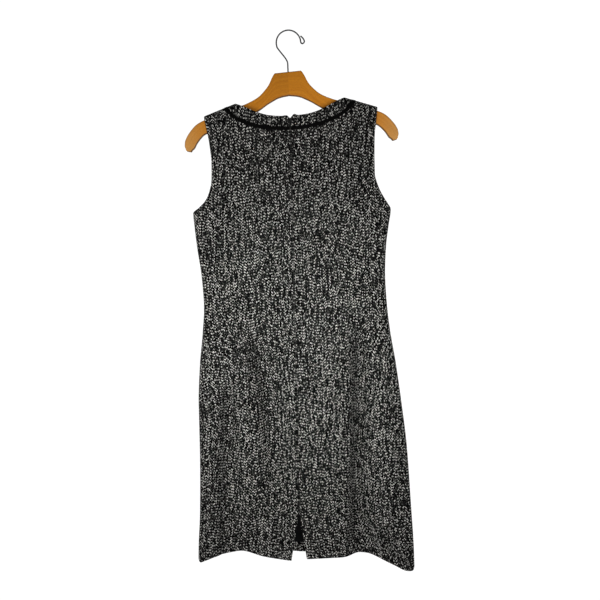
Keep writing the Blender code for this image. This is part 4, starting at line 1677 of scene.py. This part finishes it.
@dataclass
class NeckPieces:
    """The neck band and the black trim that covers the seam below it."""

    form: DressForm
    finishes: Finishes
    band_wall: float = 0.0024
    band_rows: int = 14
    band_round: float = 0.8
    corner_power: int = 40
    trim_wall: float = 0.0012
    trim_half: float = 0.00375
    trim_rows: int = 12
    sink: float = 0.9
    sink_from: float = 0.90
    sink_to: float = 0.99
    lip_left: float = 0.0010
    lip_right: float = 0.0029
    lip_share: float = 0.080
    lip_half: float = 0.040
    columns: int = 72
    close_shares: tuple[float, ...] = (0.002, 0.006, 0.010, 0.991, 0.996, 0.9985)

    def shares(self) -> Array:
        """Shares of the way out of the strips' columns, 1 x columns."""
        return np.sort(np.concatenate([np.linspace(0.0, 1.0, self.columns), self.close_shares]))[None, :]

    def lip(self, side: Side, share: Array) -> Array:
        """Rise of the neck edge beside the top of the zip."""
        high = self.lip_right if side is Side.RIGHT else self.lip_left
        return high * bell(share - self.lip_share, np.full_like(share, self.lip_half), 0.0, 2.0)

    def half(self, panel: Panel, side: Side, strip: Strip) -> tuple[Array, Array]:
        """Points of half a strip, from the centre to the shoulder seam.

        Args:
            panel: the face of the dress.
            side: the half of the dress.
            strip: the strip's edges, rows and inset.

        Returns:
            Points, and u across and v along the strip in metres.
        """
        form = self.form
        share = self.shares()
        end = strip.high
        if end is None:
            end = form.neck_strip(panel, share, 0.0, strip.inset)[2] - self.band_wall / 2
            if panel is Panel.BACK:
                end = end + self.lip(side, share)
        across = strip.low + (end - strip.low) * np.linspace(0.0, 1.0, strip.rows)[:, None]
        out, z, _ = form.neck_strip(panel, share, across, strip.inset)
        start = form.slit_edge(panel, side, z)
        if panel is Panel.BACK:
            start = start + self.band_wall / 2 * (1.0 - share) ** self.corner_power
        points = form.place(panel, side, side.value * np.maximum(out, start), z, strip.inset)
        v = side.value * run_length(points, 1)
        return points, np.stack([np.broadcast_to(across, v.shape), v], axis=-1)

    def grid(self, panel: Panel, side: Side | None, strip: Strip) -> tuple[Array, Array]:
        """Points of a strip.

        Args:
            panel: the face of the dress.
            side: the half of the dress, or None for both.
            strip: the strip's edges, rows and inset.

        Returns:
            Points, and u across and v along the strip in metres.
        """
        if side is None:
            return joined(self.half(panel, Side.LEFT, strip), self.half(panel, Side.RIGHT, strip))
        return self.half(panel, side, strip)

    def build_band(self, panel: Panel, side: Side | None) -> Object:
        """Makes one piece of the neck band, whose weave runs across it.

        Args:
            panel: the face of the dress.
            side: the half of the dress, or None for both.

        Returns:
            The new piece.
        """
        strip = Strip(self.form.seam_gap / 2, None, self.band_rows, 0.0)
        points, uv = self.grid(panel, side, strip)
        wall = np.full(points.shape[:2], self.band_wall)
        edge = np.zeros_like(wall)
        edge[-1] = 1.0
        if side is not None:
            edge[:, 0] = self.band_round
        shell = Shell(points, wall, edge, uv[..., ::-1], np.ones(wall.shape, int))
        node = self.node_name("neck_band", side)
        return tweed_piece(shell.build("tweed_" + node, panel), self.finishes, node)

    def build_trim(self, panel: Panel, side: Side | None) -> Object:
        """Makes one piece of the trim, a flat braid that sinks in at the shoulder seam.

        Args:
            panel: the face of the dress.
            side: the half of the dress, or None for both.

        Returns:
            The new piece.
        """
        sunk = self.sink * smoothstep(self.shares(), self.sink_from, self.sink_to)
        inset = -self.form.lay - self.trim_wall * (1.0 - sunk)
        half = self.trim_half - self.trim_wall / 2
        points, uv = self.grid(panel, side, Strip(-half, half, self.trim_rows, inset))
        wall = np.full(points.shape[:2], self.trim_wall)
        shell = Shell(points, wall, np.ones_like(wall), uv, np.zeros(wall.shape, int))
        node = self.node_name("neck_trim", side)
        piece = shell.build("braid_" + node, panel)
        return dress_piece(piece, [self.finishes.braid], Body.DRESS, (node,))

    @staticmethod
    def node_name(kind: str, side: Side | None) -> str:
        """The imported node's name of one neck piece."""
        return f"{kind}_front" if side is None else f"{kind}_back_{side.name.lower()}"

    def build(self) -> None:
        for panel, side in ((Panel.BACK, Side.LEFT), (Panel.BACK, Side.RIGHT), (Panel.FRONT, None)):
            band = self.build_band(panel, side)
            trim = self.build_trim(panel, side)


@dataclass
class FrontLining:
    """The black lining inside the front, seen through the slit and the hem."""

    form: DressForm
    finishes: Finishes
    wall: float = 0.0010
    clear: float = 0.0014
    width_share: float = 0.90
    turn_up: float = 0.022
    over_turn: float = 0.0010
    turn_from: float = 0.034
    turn_to: float = 0.046
    ripple_deep: float = 0.0004
    ripple_turns: tuple[float, float] = (190.0, 21.0)
    ripple_sway: float = 2.0
    ripple_fade: float = 0.2
    rim_steps: int = 4
    columns: int = 70
    rows: int = 150

    def half(self, side: Side) -> tuple[Array, Array]:
        """Half the lining, from the centre outwards.

        Formula: the front's own form, set in by the front's wall, less swayed ripples
        below the waist and a step over the turned-in hem.

        Args:
            side: the half of the dress.

        Returns:
            Points and cloth coordinates.
        """
        form = self.form
        part = np.linspace(0.0, self.width_share, self.columns)
        hem = form.read("hem", part, 3 if side is Side.LEFT else 4) + self.turn_up
        z = hem + (form.waist_z - hem) * np.linspace(0.0, 1.0, self.rows)[:, None]
        x = side.value * part * form.half_width(side, z)
        points = form.place(Panel.FRONT, side, x, z, form.wall + self.clear)
        across, down = self.ripple_turns
        ripple = self.ripple_deep * np.sin(x * across + self.ripple_sway * np.sin(z * down))
        points[..., 1] -= np.abs(ripple * smoothstep(form.waist_z - z, 0.0, self.ripple_fade))
        above = z - hem + self.turn_up
        points[..., 1] -= self.over_turn * (1.0 - smoothstep(above, self.turn_from, self.turn_to))
        u = side.value * run_length(points * np.array([1.0, 1.0, 0.0]), 1)
        return points, np.stack([u, z], axis=-1)

    def build(self) -> None:
        points, uv = joined(self.half(Side.LEFT), self.half(Side.RIGHT))
        wall = np.full(points.shape[:2], self.wall)
        edge = np.zeros_like(wall)
        edge[0] = 1.0
        shell = Shell(points, wall, edge, uv, np.zeros(wall.shape, int), self.rim_steps)
        piece = shell.build("silky_front_lining", Panel.FRONT)
        dress_piece(piece, [self.finishes.lining], Body.DRESS, ("front_lining",))


@dataclass
class Zip:
    """The closed zip inside the centre-back seam: its tape, coil, slider and pull."""

    form: DressForm
    finishes: Finishes
    tape_half: float = 0.012
    tape_top_z: float = -0.179
    tape_long: float = 0.550
    tape_wall: float = 0.0008
    tape_inset: float = 0.0024 + 0.00045  # the neck band's wall and a clear lay
    tape_rows: int = 260
    tape_columns: int = 21
    coil_below: float = 0.008
    coil_long: float = 0.530
    coil_pitch: float = 0.0014
    coil_half: float = 0.0020
    coil_deep: float = 0.0006
    coil_wire: float = 0.00035
    coil_steps: int = 12
    coil_around: int = 6
    slider_wide: float = 0.0060
    slider_tall: float = 0.0090
    slider_thick: float = 0.0016
    slider_z: float = -0.1815
    slider_face_y: float = -0.0214325
    plate_rings: int = 25
    plate_straight: float = 0.72
    plate_taper: float = 0.0005
    plate_edge: float = 0.0005
    edge_most: float = 0.8
    end_least: float = 0.02
    taper_from: float = 0.2
    bridge_wide: float = 0.0016
    bridge_half: float = 0.0019
    bridge_out: float = 0.0026
    bridge_rise: tuple[float, ...] = (1.0, 1.0, 0.75, 0.0, -0.75, -1.0, -1.0)
    bridge_bend: tuple[float, ...] = (-0.2, 0.62, 0.92, 1.0, 0.92, 0.62, -0.2)
    bridge_thick: float = 0.0004
    bridge_edge: float = 0.0003
    bridge_steps: int = 6
    pull_long: float = 0.0160
    pull_top: float = 0.0005
    pull_middle_z: float = -0.0042
    pull_half_wide: float = 0.0025
    pull_head: float = 0.0019
    head_from: float = -0.0050
    head_to: float = -0.0033
    pull_thick: float = 0.0008
    pull_edge: float = 0.00025
    pull_power: float = 0.45
    pull_steps: int = 72
    window_half: float = 0.0012
    window_tall: float = 0.0014
    window_z: float = -0.0019
    window_power: float = 0.5
    hinge_y: float = -0.0227325

    def build_tape(self) -> Object:
        """Makes the tape as one thin ribbon.

        Returns:
            The new piece.
        """
        x = np.linspace(-1.0, 1.0, self.tape_columns)[None, :] * self.tape_half
        z = np.linspace(self.tape_top_z - self.tape_long, self.tape_top_z, self.tape_rows)[:, None]
        points = self.form.place(Panel.BACK, Side.RIGHT, x, z, self.tape_inset)
        uv = np.stack(np.broadcast_arrays(x, z), axis=-1)
        wall = np.full(points.shape[:2], self.tape_wall)
        shell = Shell(points, wall, np.zeros_like(wall), uv, np.zeros(wall.shape, int), rim_steps=2)
        piece = shell.build("woven_zip_tape", Panel.BACK)
        return dress_piece(piece, [self.finishes.tape], Body.DRESS, ("zip_tape",))

    def build_coil(self) -> Object:
        """Makes the closed coil.

        Formula: one flat spiral of nylon wire down the tape's inner face.

        Returns:
            The new piece.
        """
        turns = self.coil_long / self.coil_pitch
        turn = np.linspace(0.0, 2.0 * np.pi * turns, int(turns * self.coil_steps))
        x = self.coil_half * np.cos(turn)
        z = self.tape_top_z - self.coil_below - self.coil_pitch * turn / (2.0 * np.pi)
        inset = self.tape_inset + self.tape_wall + self.coil_wire + self.coil_deep * (1.0 + np.sin(turn))
        line = self.form.place(Panel.BACK, Side.RIGHT, x[None], z[None], inset[None])[0]
        rings = wire_rings(line, self.coil_wire, self.coil_around, np.array([0.0, 0.0, 1.0]))
        around = self.coil_wire * np.arange(self.coil_around + 1.0)
        around = np.broadcast_to(around, (len(rings), len(around)))
        piece = Solid.loft(rings, around).add("nylon_zip_coil")
        return dress_piece(piece, [self.finishes.nylon], Body.DRESS, ())

    def plate(self) -> Solid:
        """The slider's plate: rounded bars stacked up its height, narrower at the foot.

        Returns:
            The solid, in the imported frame.
        """
        rise = np.linspace(-1.0, 1.0, self.plate_rings)
        past = np.maximum(np.abs(rise) - self.plate_straight, 0.0)
        end = np.sqrt(np.maximum(1.0 - past**2 / (1.0 - self.plate_straight) ** 2, self.end_least))
        taper = self.plate_taper * smoothstep(-rise, self.taper_from, 1.0)
        wide = (self.slider_wide / 2.0 - taper) * end
        deep = np.full_like(rise, self.slider_thick / 2.0)
        edge = np.minimum(self.plate_edge, self.edge_most * wide)
        across, out = RoundedBar(4, 3).sections(wide, deep, edge)
        middle = self.slider_face_y + self.slider_thick / 2.0
        z = np.broadcast_to((self.slider_z + self.slider_tall / 2.0 * rise)[:, None], across.shape)
        return Solid.loft(np.stack([across, middle + out, z], axis=-1), closed(across)).outward()

    def bridge(self) -> Solid:
        """The slider's bridge: a bar bent out over the pull's eye.

        Returns:
            The solid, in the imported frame.
        """
        z = self.slider_z + self.bridge_half * np.array(self.bridge_rise)
        y = self.slider_face_y - self.bridge_out * np.array(self.bridge_bend)
        line = curve_through(np.stack([np.zeros_like(z), y, z], axis=-1), self.bridge_steps)
        east = np.array([1.0, 0.0, 0.0])
        rise = np.cross(unit(np.gradient(line, axis=0)), east)
        half = (self.bridge_wide / 2.0, self.bridge_thick, self.bridge_edge)
        across, thick = RoundedBar(4, 1).sections(*(np.full(len(line), size) for size in half))
        rings = line[:, None] + across[..., None] * east + thick[..., None] * rise[:, None]
        return Solid.loft(rings, closed(across)).outward()

    def pull(self) -> Solid:
        """The pull: a flat tab whose window hangs on the bridge.

        Formula: round the tab goes a section that reaches from the window's edge to
        the outer edge, with rounded edges. Both edges are rounded rectangles, a sine
        and a cosine to a power, and an S narrows the outer one to the head.

        Returns:
            The solid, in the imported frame.
        """
        turn = np.linspace(0.0, 2.0 * np.pi, self.pull_steps + 1)[:-1]
        east, north = np.sin(turn), np.cos(turn)
        x = self.pull_half_wide * np.sign(east) * np.abs(east) ** self.pull_power
        z = np.where(north > 0.0, self.pull_top, -self.pull_long)
        z = self.pull_middle_z + (z - self.pull_middle_z) * np.abs(north) ** self.pull_power
        head = smoothstep(z, self.head_from, self.head_to)
        x = x * (1.0 + (self.pull_head / self.pull_half_wide - 1.0) * head)
        outer = np.stack([x, z], axis=-1)
        x = self.window_half * np.sign(east) * np.abs(east) ** self.window_power
        z = self.window_z + self.window_tall * np.sign(north) * np.abs(north) ** self.window_power
        inner = np.stack([x, z], axis=-1)
        half = np.linalg.norm(outer - inner, axis=-1) / 2.0
        thick = np.full_like(half, self.pull_thick / 2.0)
        edge = np.minimum(self.pull_edge, self.edge_most * half)
        across, out = RoundedBar(4, 4).sections(half, thick, edge)
        way = unit(outer - inner)
        flat = ((outer + inner) / 2.0)[:, None] + across[..., None] * way[:, None]
        rings = np.stack([flat[..., 0], self.hinge_y + out, self.slider_z + flat[..., 1]], axis=-1)
        return Solid.loft(rings, closed(across), looped=True)

    def build(self) -> None:
        tape = self.build_tape()
        coil = self.build_coil()
        slider = (self.plate() + self.bridge()).add("enamelled_slider")
        dress_piece(slider, [self.finishes.enamel], Body.DRESS, ("zip_slider",))
        pull = self.pull().add("enamelled_pull")
        dress_piece(pull, [self.finishes.enamel], Body.PULL, ("zip_pull",))


# ---------------- the hanger
@dataclass
class Hanger:
    """The wooden hanger, in two halves joined at the middle, and its wire hook."""

    form: DressForm
    finishes: Finishes
    thick: float = 0.012
    edge: float = 0.0032
    edge_most: float = 0.9
    middle_x: float = -0.0027
    top_z: float = -0.0836
    joint_lap: float = 0.0001
    top_lean: float = 0.0024
    level_half: float = 0.0262
    lean_out: float = 0.045
    tip_dome: float = 0.0012
    steps: int = 10
    grain_turn: float = 0.6
    grain_apart: float = 0.5
    # painted shade along the arms' edges: full on the faces that turn downwards, a share of it on the
    # upper edge
    painted_shade_foot: tuple[float, float] = (0.00, 0.75)
    painted_shade_top: tuple[float, float] = (0.40, 1.0)
    painted_shade_top_share: float = 0.40
    wire: float = 0.0030
    wire_around: int = 16
    wire_steps: int = 5
    hook_radius: float = 0.0250
    hook_from: float = 203.0
    hook_to: float = 4.0
    hook_steps: int = 25
    # upper out, upper drop, lower out, lower drop
    arm: Table = (
        (0.0000, 0.0000, 0.0000, 0.0470),
        (0.0130, 0.0000, 0.0150, 0.0491),
        (0.0262, 0.0000, 0.0255, 0.0521),
        (0.0290, 0.0022, 0.0310, 0.0548),
        (0.0332, 0.0085, 0.0380, 0.0583),
        (0.0407, 0.0226, 0.0462, 0.0628),
        (0.0510, 0.0348, 0.0570, 0.0698),
        (0.0616, 0.0445, 0.0680, 0.0766),
        (0.0730, 0.0512, 0.0790, 0.0822),
        (0.0880, 0.0577, 0.0914, 0.0876),
        (0.1400, 0.0745, 0.1380, 0.1040),
        (0.1853, 0.0895, 0.1790, 0.1165),
        (0.1957, 0.0955, 0.1875, 0.1240),
        (0.2065, 0.1060, 0.1950, 0.1330),
        (0.2165, 0.1195, 0.2008, 0.1425),
        (0.2205, 0.1290, 0.2060, 0.1470),
        (0.2214, 0.1370, 0.2088, 0.1500),
        (0.2195, 0.1435, 0.2150, 0.1485),
    )
    # x, z
    stem: tuple[tuple[float, float], ...] = (
        (-0.0021, -0.0850),
        (-0.0022, -0.0830),
        (-0.0024, -0.0720),
        (-0.0031, -0.0620),
        (-0.0080, -0.0530),
        (-0.0162, -0.0425),
    )
    # x, z
    curl: tuple[tuple[float, float], ...] = (
        (0.0256, -0.0240),
        (0.0284, -0.0259),
        (0.0314, -0.0242),
        (0.0325, -0.0207),
        (0.0301, -0.0157),
        (0.0258, -0.0112),
    )

    def leant(self, rings: Array) -> Array:
        """Turns rings by the hanger's lean and moves them to its place.

        Args:
            rings: rings x points x 3, about the middle of the hanger's top.

        Returns:
            Rings of the same shape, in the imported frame.
        """
        cosine, sine = math.cos(self.form.tilt), math.sin(self.form.tilt)
        x, y, z = rings[..., 0], rings[..., 1], rings[..., 2]
        places = self.middle_x + x * cosine - z * sine, y, self.top_z + x * sine + z * cosine
        return np.stack(places, axis=-1)

    def half(self, side: Side) -> tuple[Solid, Solid]:
        """One half: rounded sections from the joint out to the tip, closed by a dome.

        Formula: smooth curves through the arm's rows give the upper and the lower
        edge; a section stands between them at every step.

        Args:
            side: the half of the hanger.

        Returns:
            The solid with its grain as v, and with its edges' painted shade as v.
        """
        rows = np.arange(len(self.arm))
        fine = np.linspace(0.0, rows[-1], self.steps * rows[-1] + 1)
        curves = (smooth(fine, rows, column) for column in np.array(self.arm).T)
        upper_out, upper_drop, lower_out, lower_drop = curves
        level = 0.5 + side.value * upper_out / (2.0 * self.level_half)
        lean = self.top_lean * level * (1.0 - smoothstep(upper_out, self.level_half, self.lean_out))
        upper = np.stack([side.value * upper_out, np.zeros_like(fine), lean - upper_drop], axis=-1)
        lower = np.stack([side.value * lower_out, np.zeros_like(fine), -lower_drop], axis=-1)
        upper[0, 0] = lower[0, 0] = -side.value * self.joint_lap / 2.0
        tall = np.linalg.norm(upper - lower, axis=-1) / 2.0
        deep = np.full_like(tall, self.thick / 2.0)
        bar = RoundedBar()
        across, out = bar.sections(tall, deep, np.minimum(self.edge, self.edge_most * tall))
        up = unit(upper - lower)
        rings = ((upper + lower) / 2.0)[:, None] + across[..., None] * up[:, None]
        rings[..., 1] = out
        way = np.cross(up[-1], np.array([0.0, 1.0, 0.0]))
        rings = domed(rings, way * side.value * np.sign(way[0]), self.tip_dome)
        tip = np.repeat(across[-1:], len(rings) - len(across), axis=0)
        grain = np.concatenate([across, tip]) + self.grain_turn * rings[..., 1]
        grain = closed(grain) + self.grain_apart * side.value
        rings = self.leant(rings)
        upward = np.cos(bar.ring()[2])
        # painted shade: darker as a face turns downwards, and fainter near the top
        painted_shade = smoothstep(-upward, *self.painted_shade_foot)
        painted_shade = painted_shade + self.painted_shade_top_share * smoothstep(upward, *self.painted_shade_top)
        painted_shade = np.broadcast_to(np.append(painted_shade, painted_shade[0]), grain.shape)
        return Solid.loft(rings, grain), Solid.loft(rings, painted_shade)

    def hook(self) -> Solid:
        """The hook: a wire along its stem, its round and its curl, with a rounded end.

        Returns:
            The solid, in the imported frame.
        """
        turn = np.radians(np.linspace(self.hook_from, self.hook_to, self.hook_steps))
        arc = self.hook_radius * np.stack([np.cos(turn), np.sin(turn)], axis=-1)
        arc[:, 1] += self.wire / 2.0 - self.hook_radius
        flat = curve_through(np.concatenate([self.stem, arc, self.curl]), self.wire_steps)
        line = np.stack([flat[:, 0], np.zeros(len(flat)), flat[:, 1]], axis=-1)
        rings = wire_rings(line, self.wire / 2.0, self.wire_around, np.array([0.0, 1.0, 0.0]))
        rings = domed(rings, unit(line[-1] - line[-2]), self.wire / 2.0)
        around = np.pi * self.wire * np.arange(self.wire_around + 1) / self.wire_around
        return Solid.loft(rings, np.broadcast_to(around, (len(rings), len(around))))

    def build(self) -> None:
        for side, wood in ((Side.LEFT, self.finishes.wood_left), (Side.RIGHT, self.finishes.wood_right)):
            solid, painted_shade = (part.outward() for part in self.half(side))
            piece = solid.add(f"wooden_half_{side.name.lower()}")
            # the edges' painted shade goes to the wood's material as the edge attribute
            edge = piece.data.attributes.new("edge", "FLOAT", "CORNER")
            edge.data.foreach_set("value", painted_shade.uv[..., 1].astype(np.float32).ravel())
            dress_piece(piece, [wood], Body.DRESS, (f"hanger_{side.name.lower()}",))
        hook = self.hook().add("wire_hook")
        dress_piece(hook, [self.finishes.steel], Body.DRESS, ("hanger_hook",))


# ---------------- the studio
@dataclass(frozen=True)
class Lamp:
    """A square soft light."""

    name: str
    place: Triple
    power: float
    size: float = 0.40


@dataclass
class Studio:
    """A pale floor, a white surround, soft lights and the camera."""

    floor_z: float = -1.90
    floor_radius: float = 1.35
    floor_rings: int = 8
    floor_around: int = 96
    camera_place: Triple = (0.0122, -1.75, -0.3746)
    camera_pitch: float = math.radians(-5.824)
    camera_roll: float = math.radians(-1.24)
    lens: float = 50.0
    sensor: float = 36.0
    room_from: float = 0.50
    backdrop_from: float = 0.86
    room_light: float = 0.258
    backdrop_light: float = 1.05
    light_spread: float = math.radians(56.0)
    light_aim: Triple = (0.02, 0.0, -0.62)
    lamps: tuple[Lamp, ...] = (
        Lamp("right_light", (0.62, -1.40, -0.48), 1.78),
        Lamp("left_light", (-1.00, -1.05, -0.35), 1.55),
        Lamp("low_light", (0.00, -1.35, -1.35), 1.35),
        Lamp("front_light", (0.85, 1.30, -0.40), 2.60),
    )

    def build_floor(self) -> None:
        """Makes the floor: a round, flat mat of rings about the middle."""
        radius = self.floor_radius * np.linspace(0.0, 1.0, self.floor_rings + 1)[1:, None]
        angle = np.linspace(0.0, 2.0 * np.pi, self.floor_around + 1)[:-1]
        x, y = radius * np.cos(angle), radius * np.sin(angle)
        points = np.stack([x, y, np.full_like(x, self.floor_z)], axis=-1).reshape(-1, 3)
        number = closed(np.arange(len(points)).reshape(x.shape))
        faces = quads(number[1:], number[:-1]).tolist()
        faces.append(number[0, :-1].tolist())
        mesh = bpy.data.meshes.new("studio_floor")
        mesh.from_pydata(points.tolist(), [], faces)
        floor = bpy.data.objects.new("studio_floor", mesh)
        floor.data.materials.append(Paint().make())
        bpy.context.collection.objects.link(floor)

    def build_surround(self) -> None:
        """Makes the surround: a white backdrop that dims towards the room behind the camera."""
        world = bpy.data.worlds.new("studio_surround")
        world.use_nodes = True
        tree = world.node_tree
        split = tree.nodes.new("ShaderNodeSeparateXYZ")
        tree.links.new(tree.nodes.new("ShaderNodeTexCoord").outputs["Generated"], split.inputs[0])
        fade = tree.nodes.new("ShaderNodeMapRange")
        fade.interpolation_type = "SMOOTHSTEP"
        values = self.room_from, self.backdrop_from, self.room_light, self.backdrop_light
        for key, value in zip(("From Min", "From Max", "To Min", "To Max"), values):
            fade.inputs[key].default_value = value
        tree.links.new(split.outputs["Y"], fade.inputs["Value"])
        tree.links.new(fade.outputs["Result"], tree.nodes["Background"].inputs["Strength"])
        tree.nodes["Background"].inputs["Color"].default_value = (1.0, 1.0, 1.0, 1.0)
        bpy.context.scene.world = world

    def add_light(self, lamp: Lamp) -> None:
        """Adds a square soft light that faces the dress's middle.

        Args:
            lamp: its name, place, power and size.
        """
        light = bpy.data.lights.new(lamp.name, "AREA")
        light.size = lamp.size
        light.energy = lamp.power
        light.spread = self.light_spread
        made = bpy.data.objects.new(lamp.name, light)
        bpy.context.collection.objects.link(made)
        aim = np.array(self.light_aim) - np.array(lamp.place)
        made.location = lamp.place
        made.rotation_mode = "QUATERNION"
        made.rotation_quaternion = Vector(aim).to_track_quat("-Z", "Y")

    def build_camera(self) -> None:
        """Makes the camera: a level view, turned down by the pitch, then rolled."""
        data = bpy.data.cameras.new("studio_camera")
        data.lens = self.lens
        data.sensor_width = self.sensor
        camera = bpy.data.objects.new("studio_camera", data)
        bpy.context.collection.objects.link(camera)
        pitch = Matrix.Rotation(math.radians(90.0) + self.camera_pitch, 4, "X")
        roll = Matrix.Rotation(self.camera_roll, 4, "Z")
        camera.matrix_world = Matrix.Translation(self.camera_place) @ pitch @ roll
        bpy.context.scene.camera = camera

    def build(self) -> None:
        """Sets up the whole studio."""
        self.build_camera()
        self.build_floor()
        self.build_surround()
        for lamp in self.lamps:
            self.add_light(lamp)
        bpy.context.scene.view_settings.view_transform = "Standard"


def main() -> None:
    """Loads the frame and builds each sub-assembly in turn."""
    logging.basicConfig(level=logging.INFO, format="%(message)s")
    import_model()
    Studio().build()
    form = DressForm()
    finishes = Finishes()
    Panels(form, finishes).build()
    NeckPieces(form, finishes).build()
    FrontLining(form, finishes).build()
    Zip(form, finishes).build()
    Hanger(form, finishes).build()


if __name__ == "__main__":
    main()
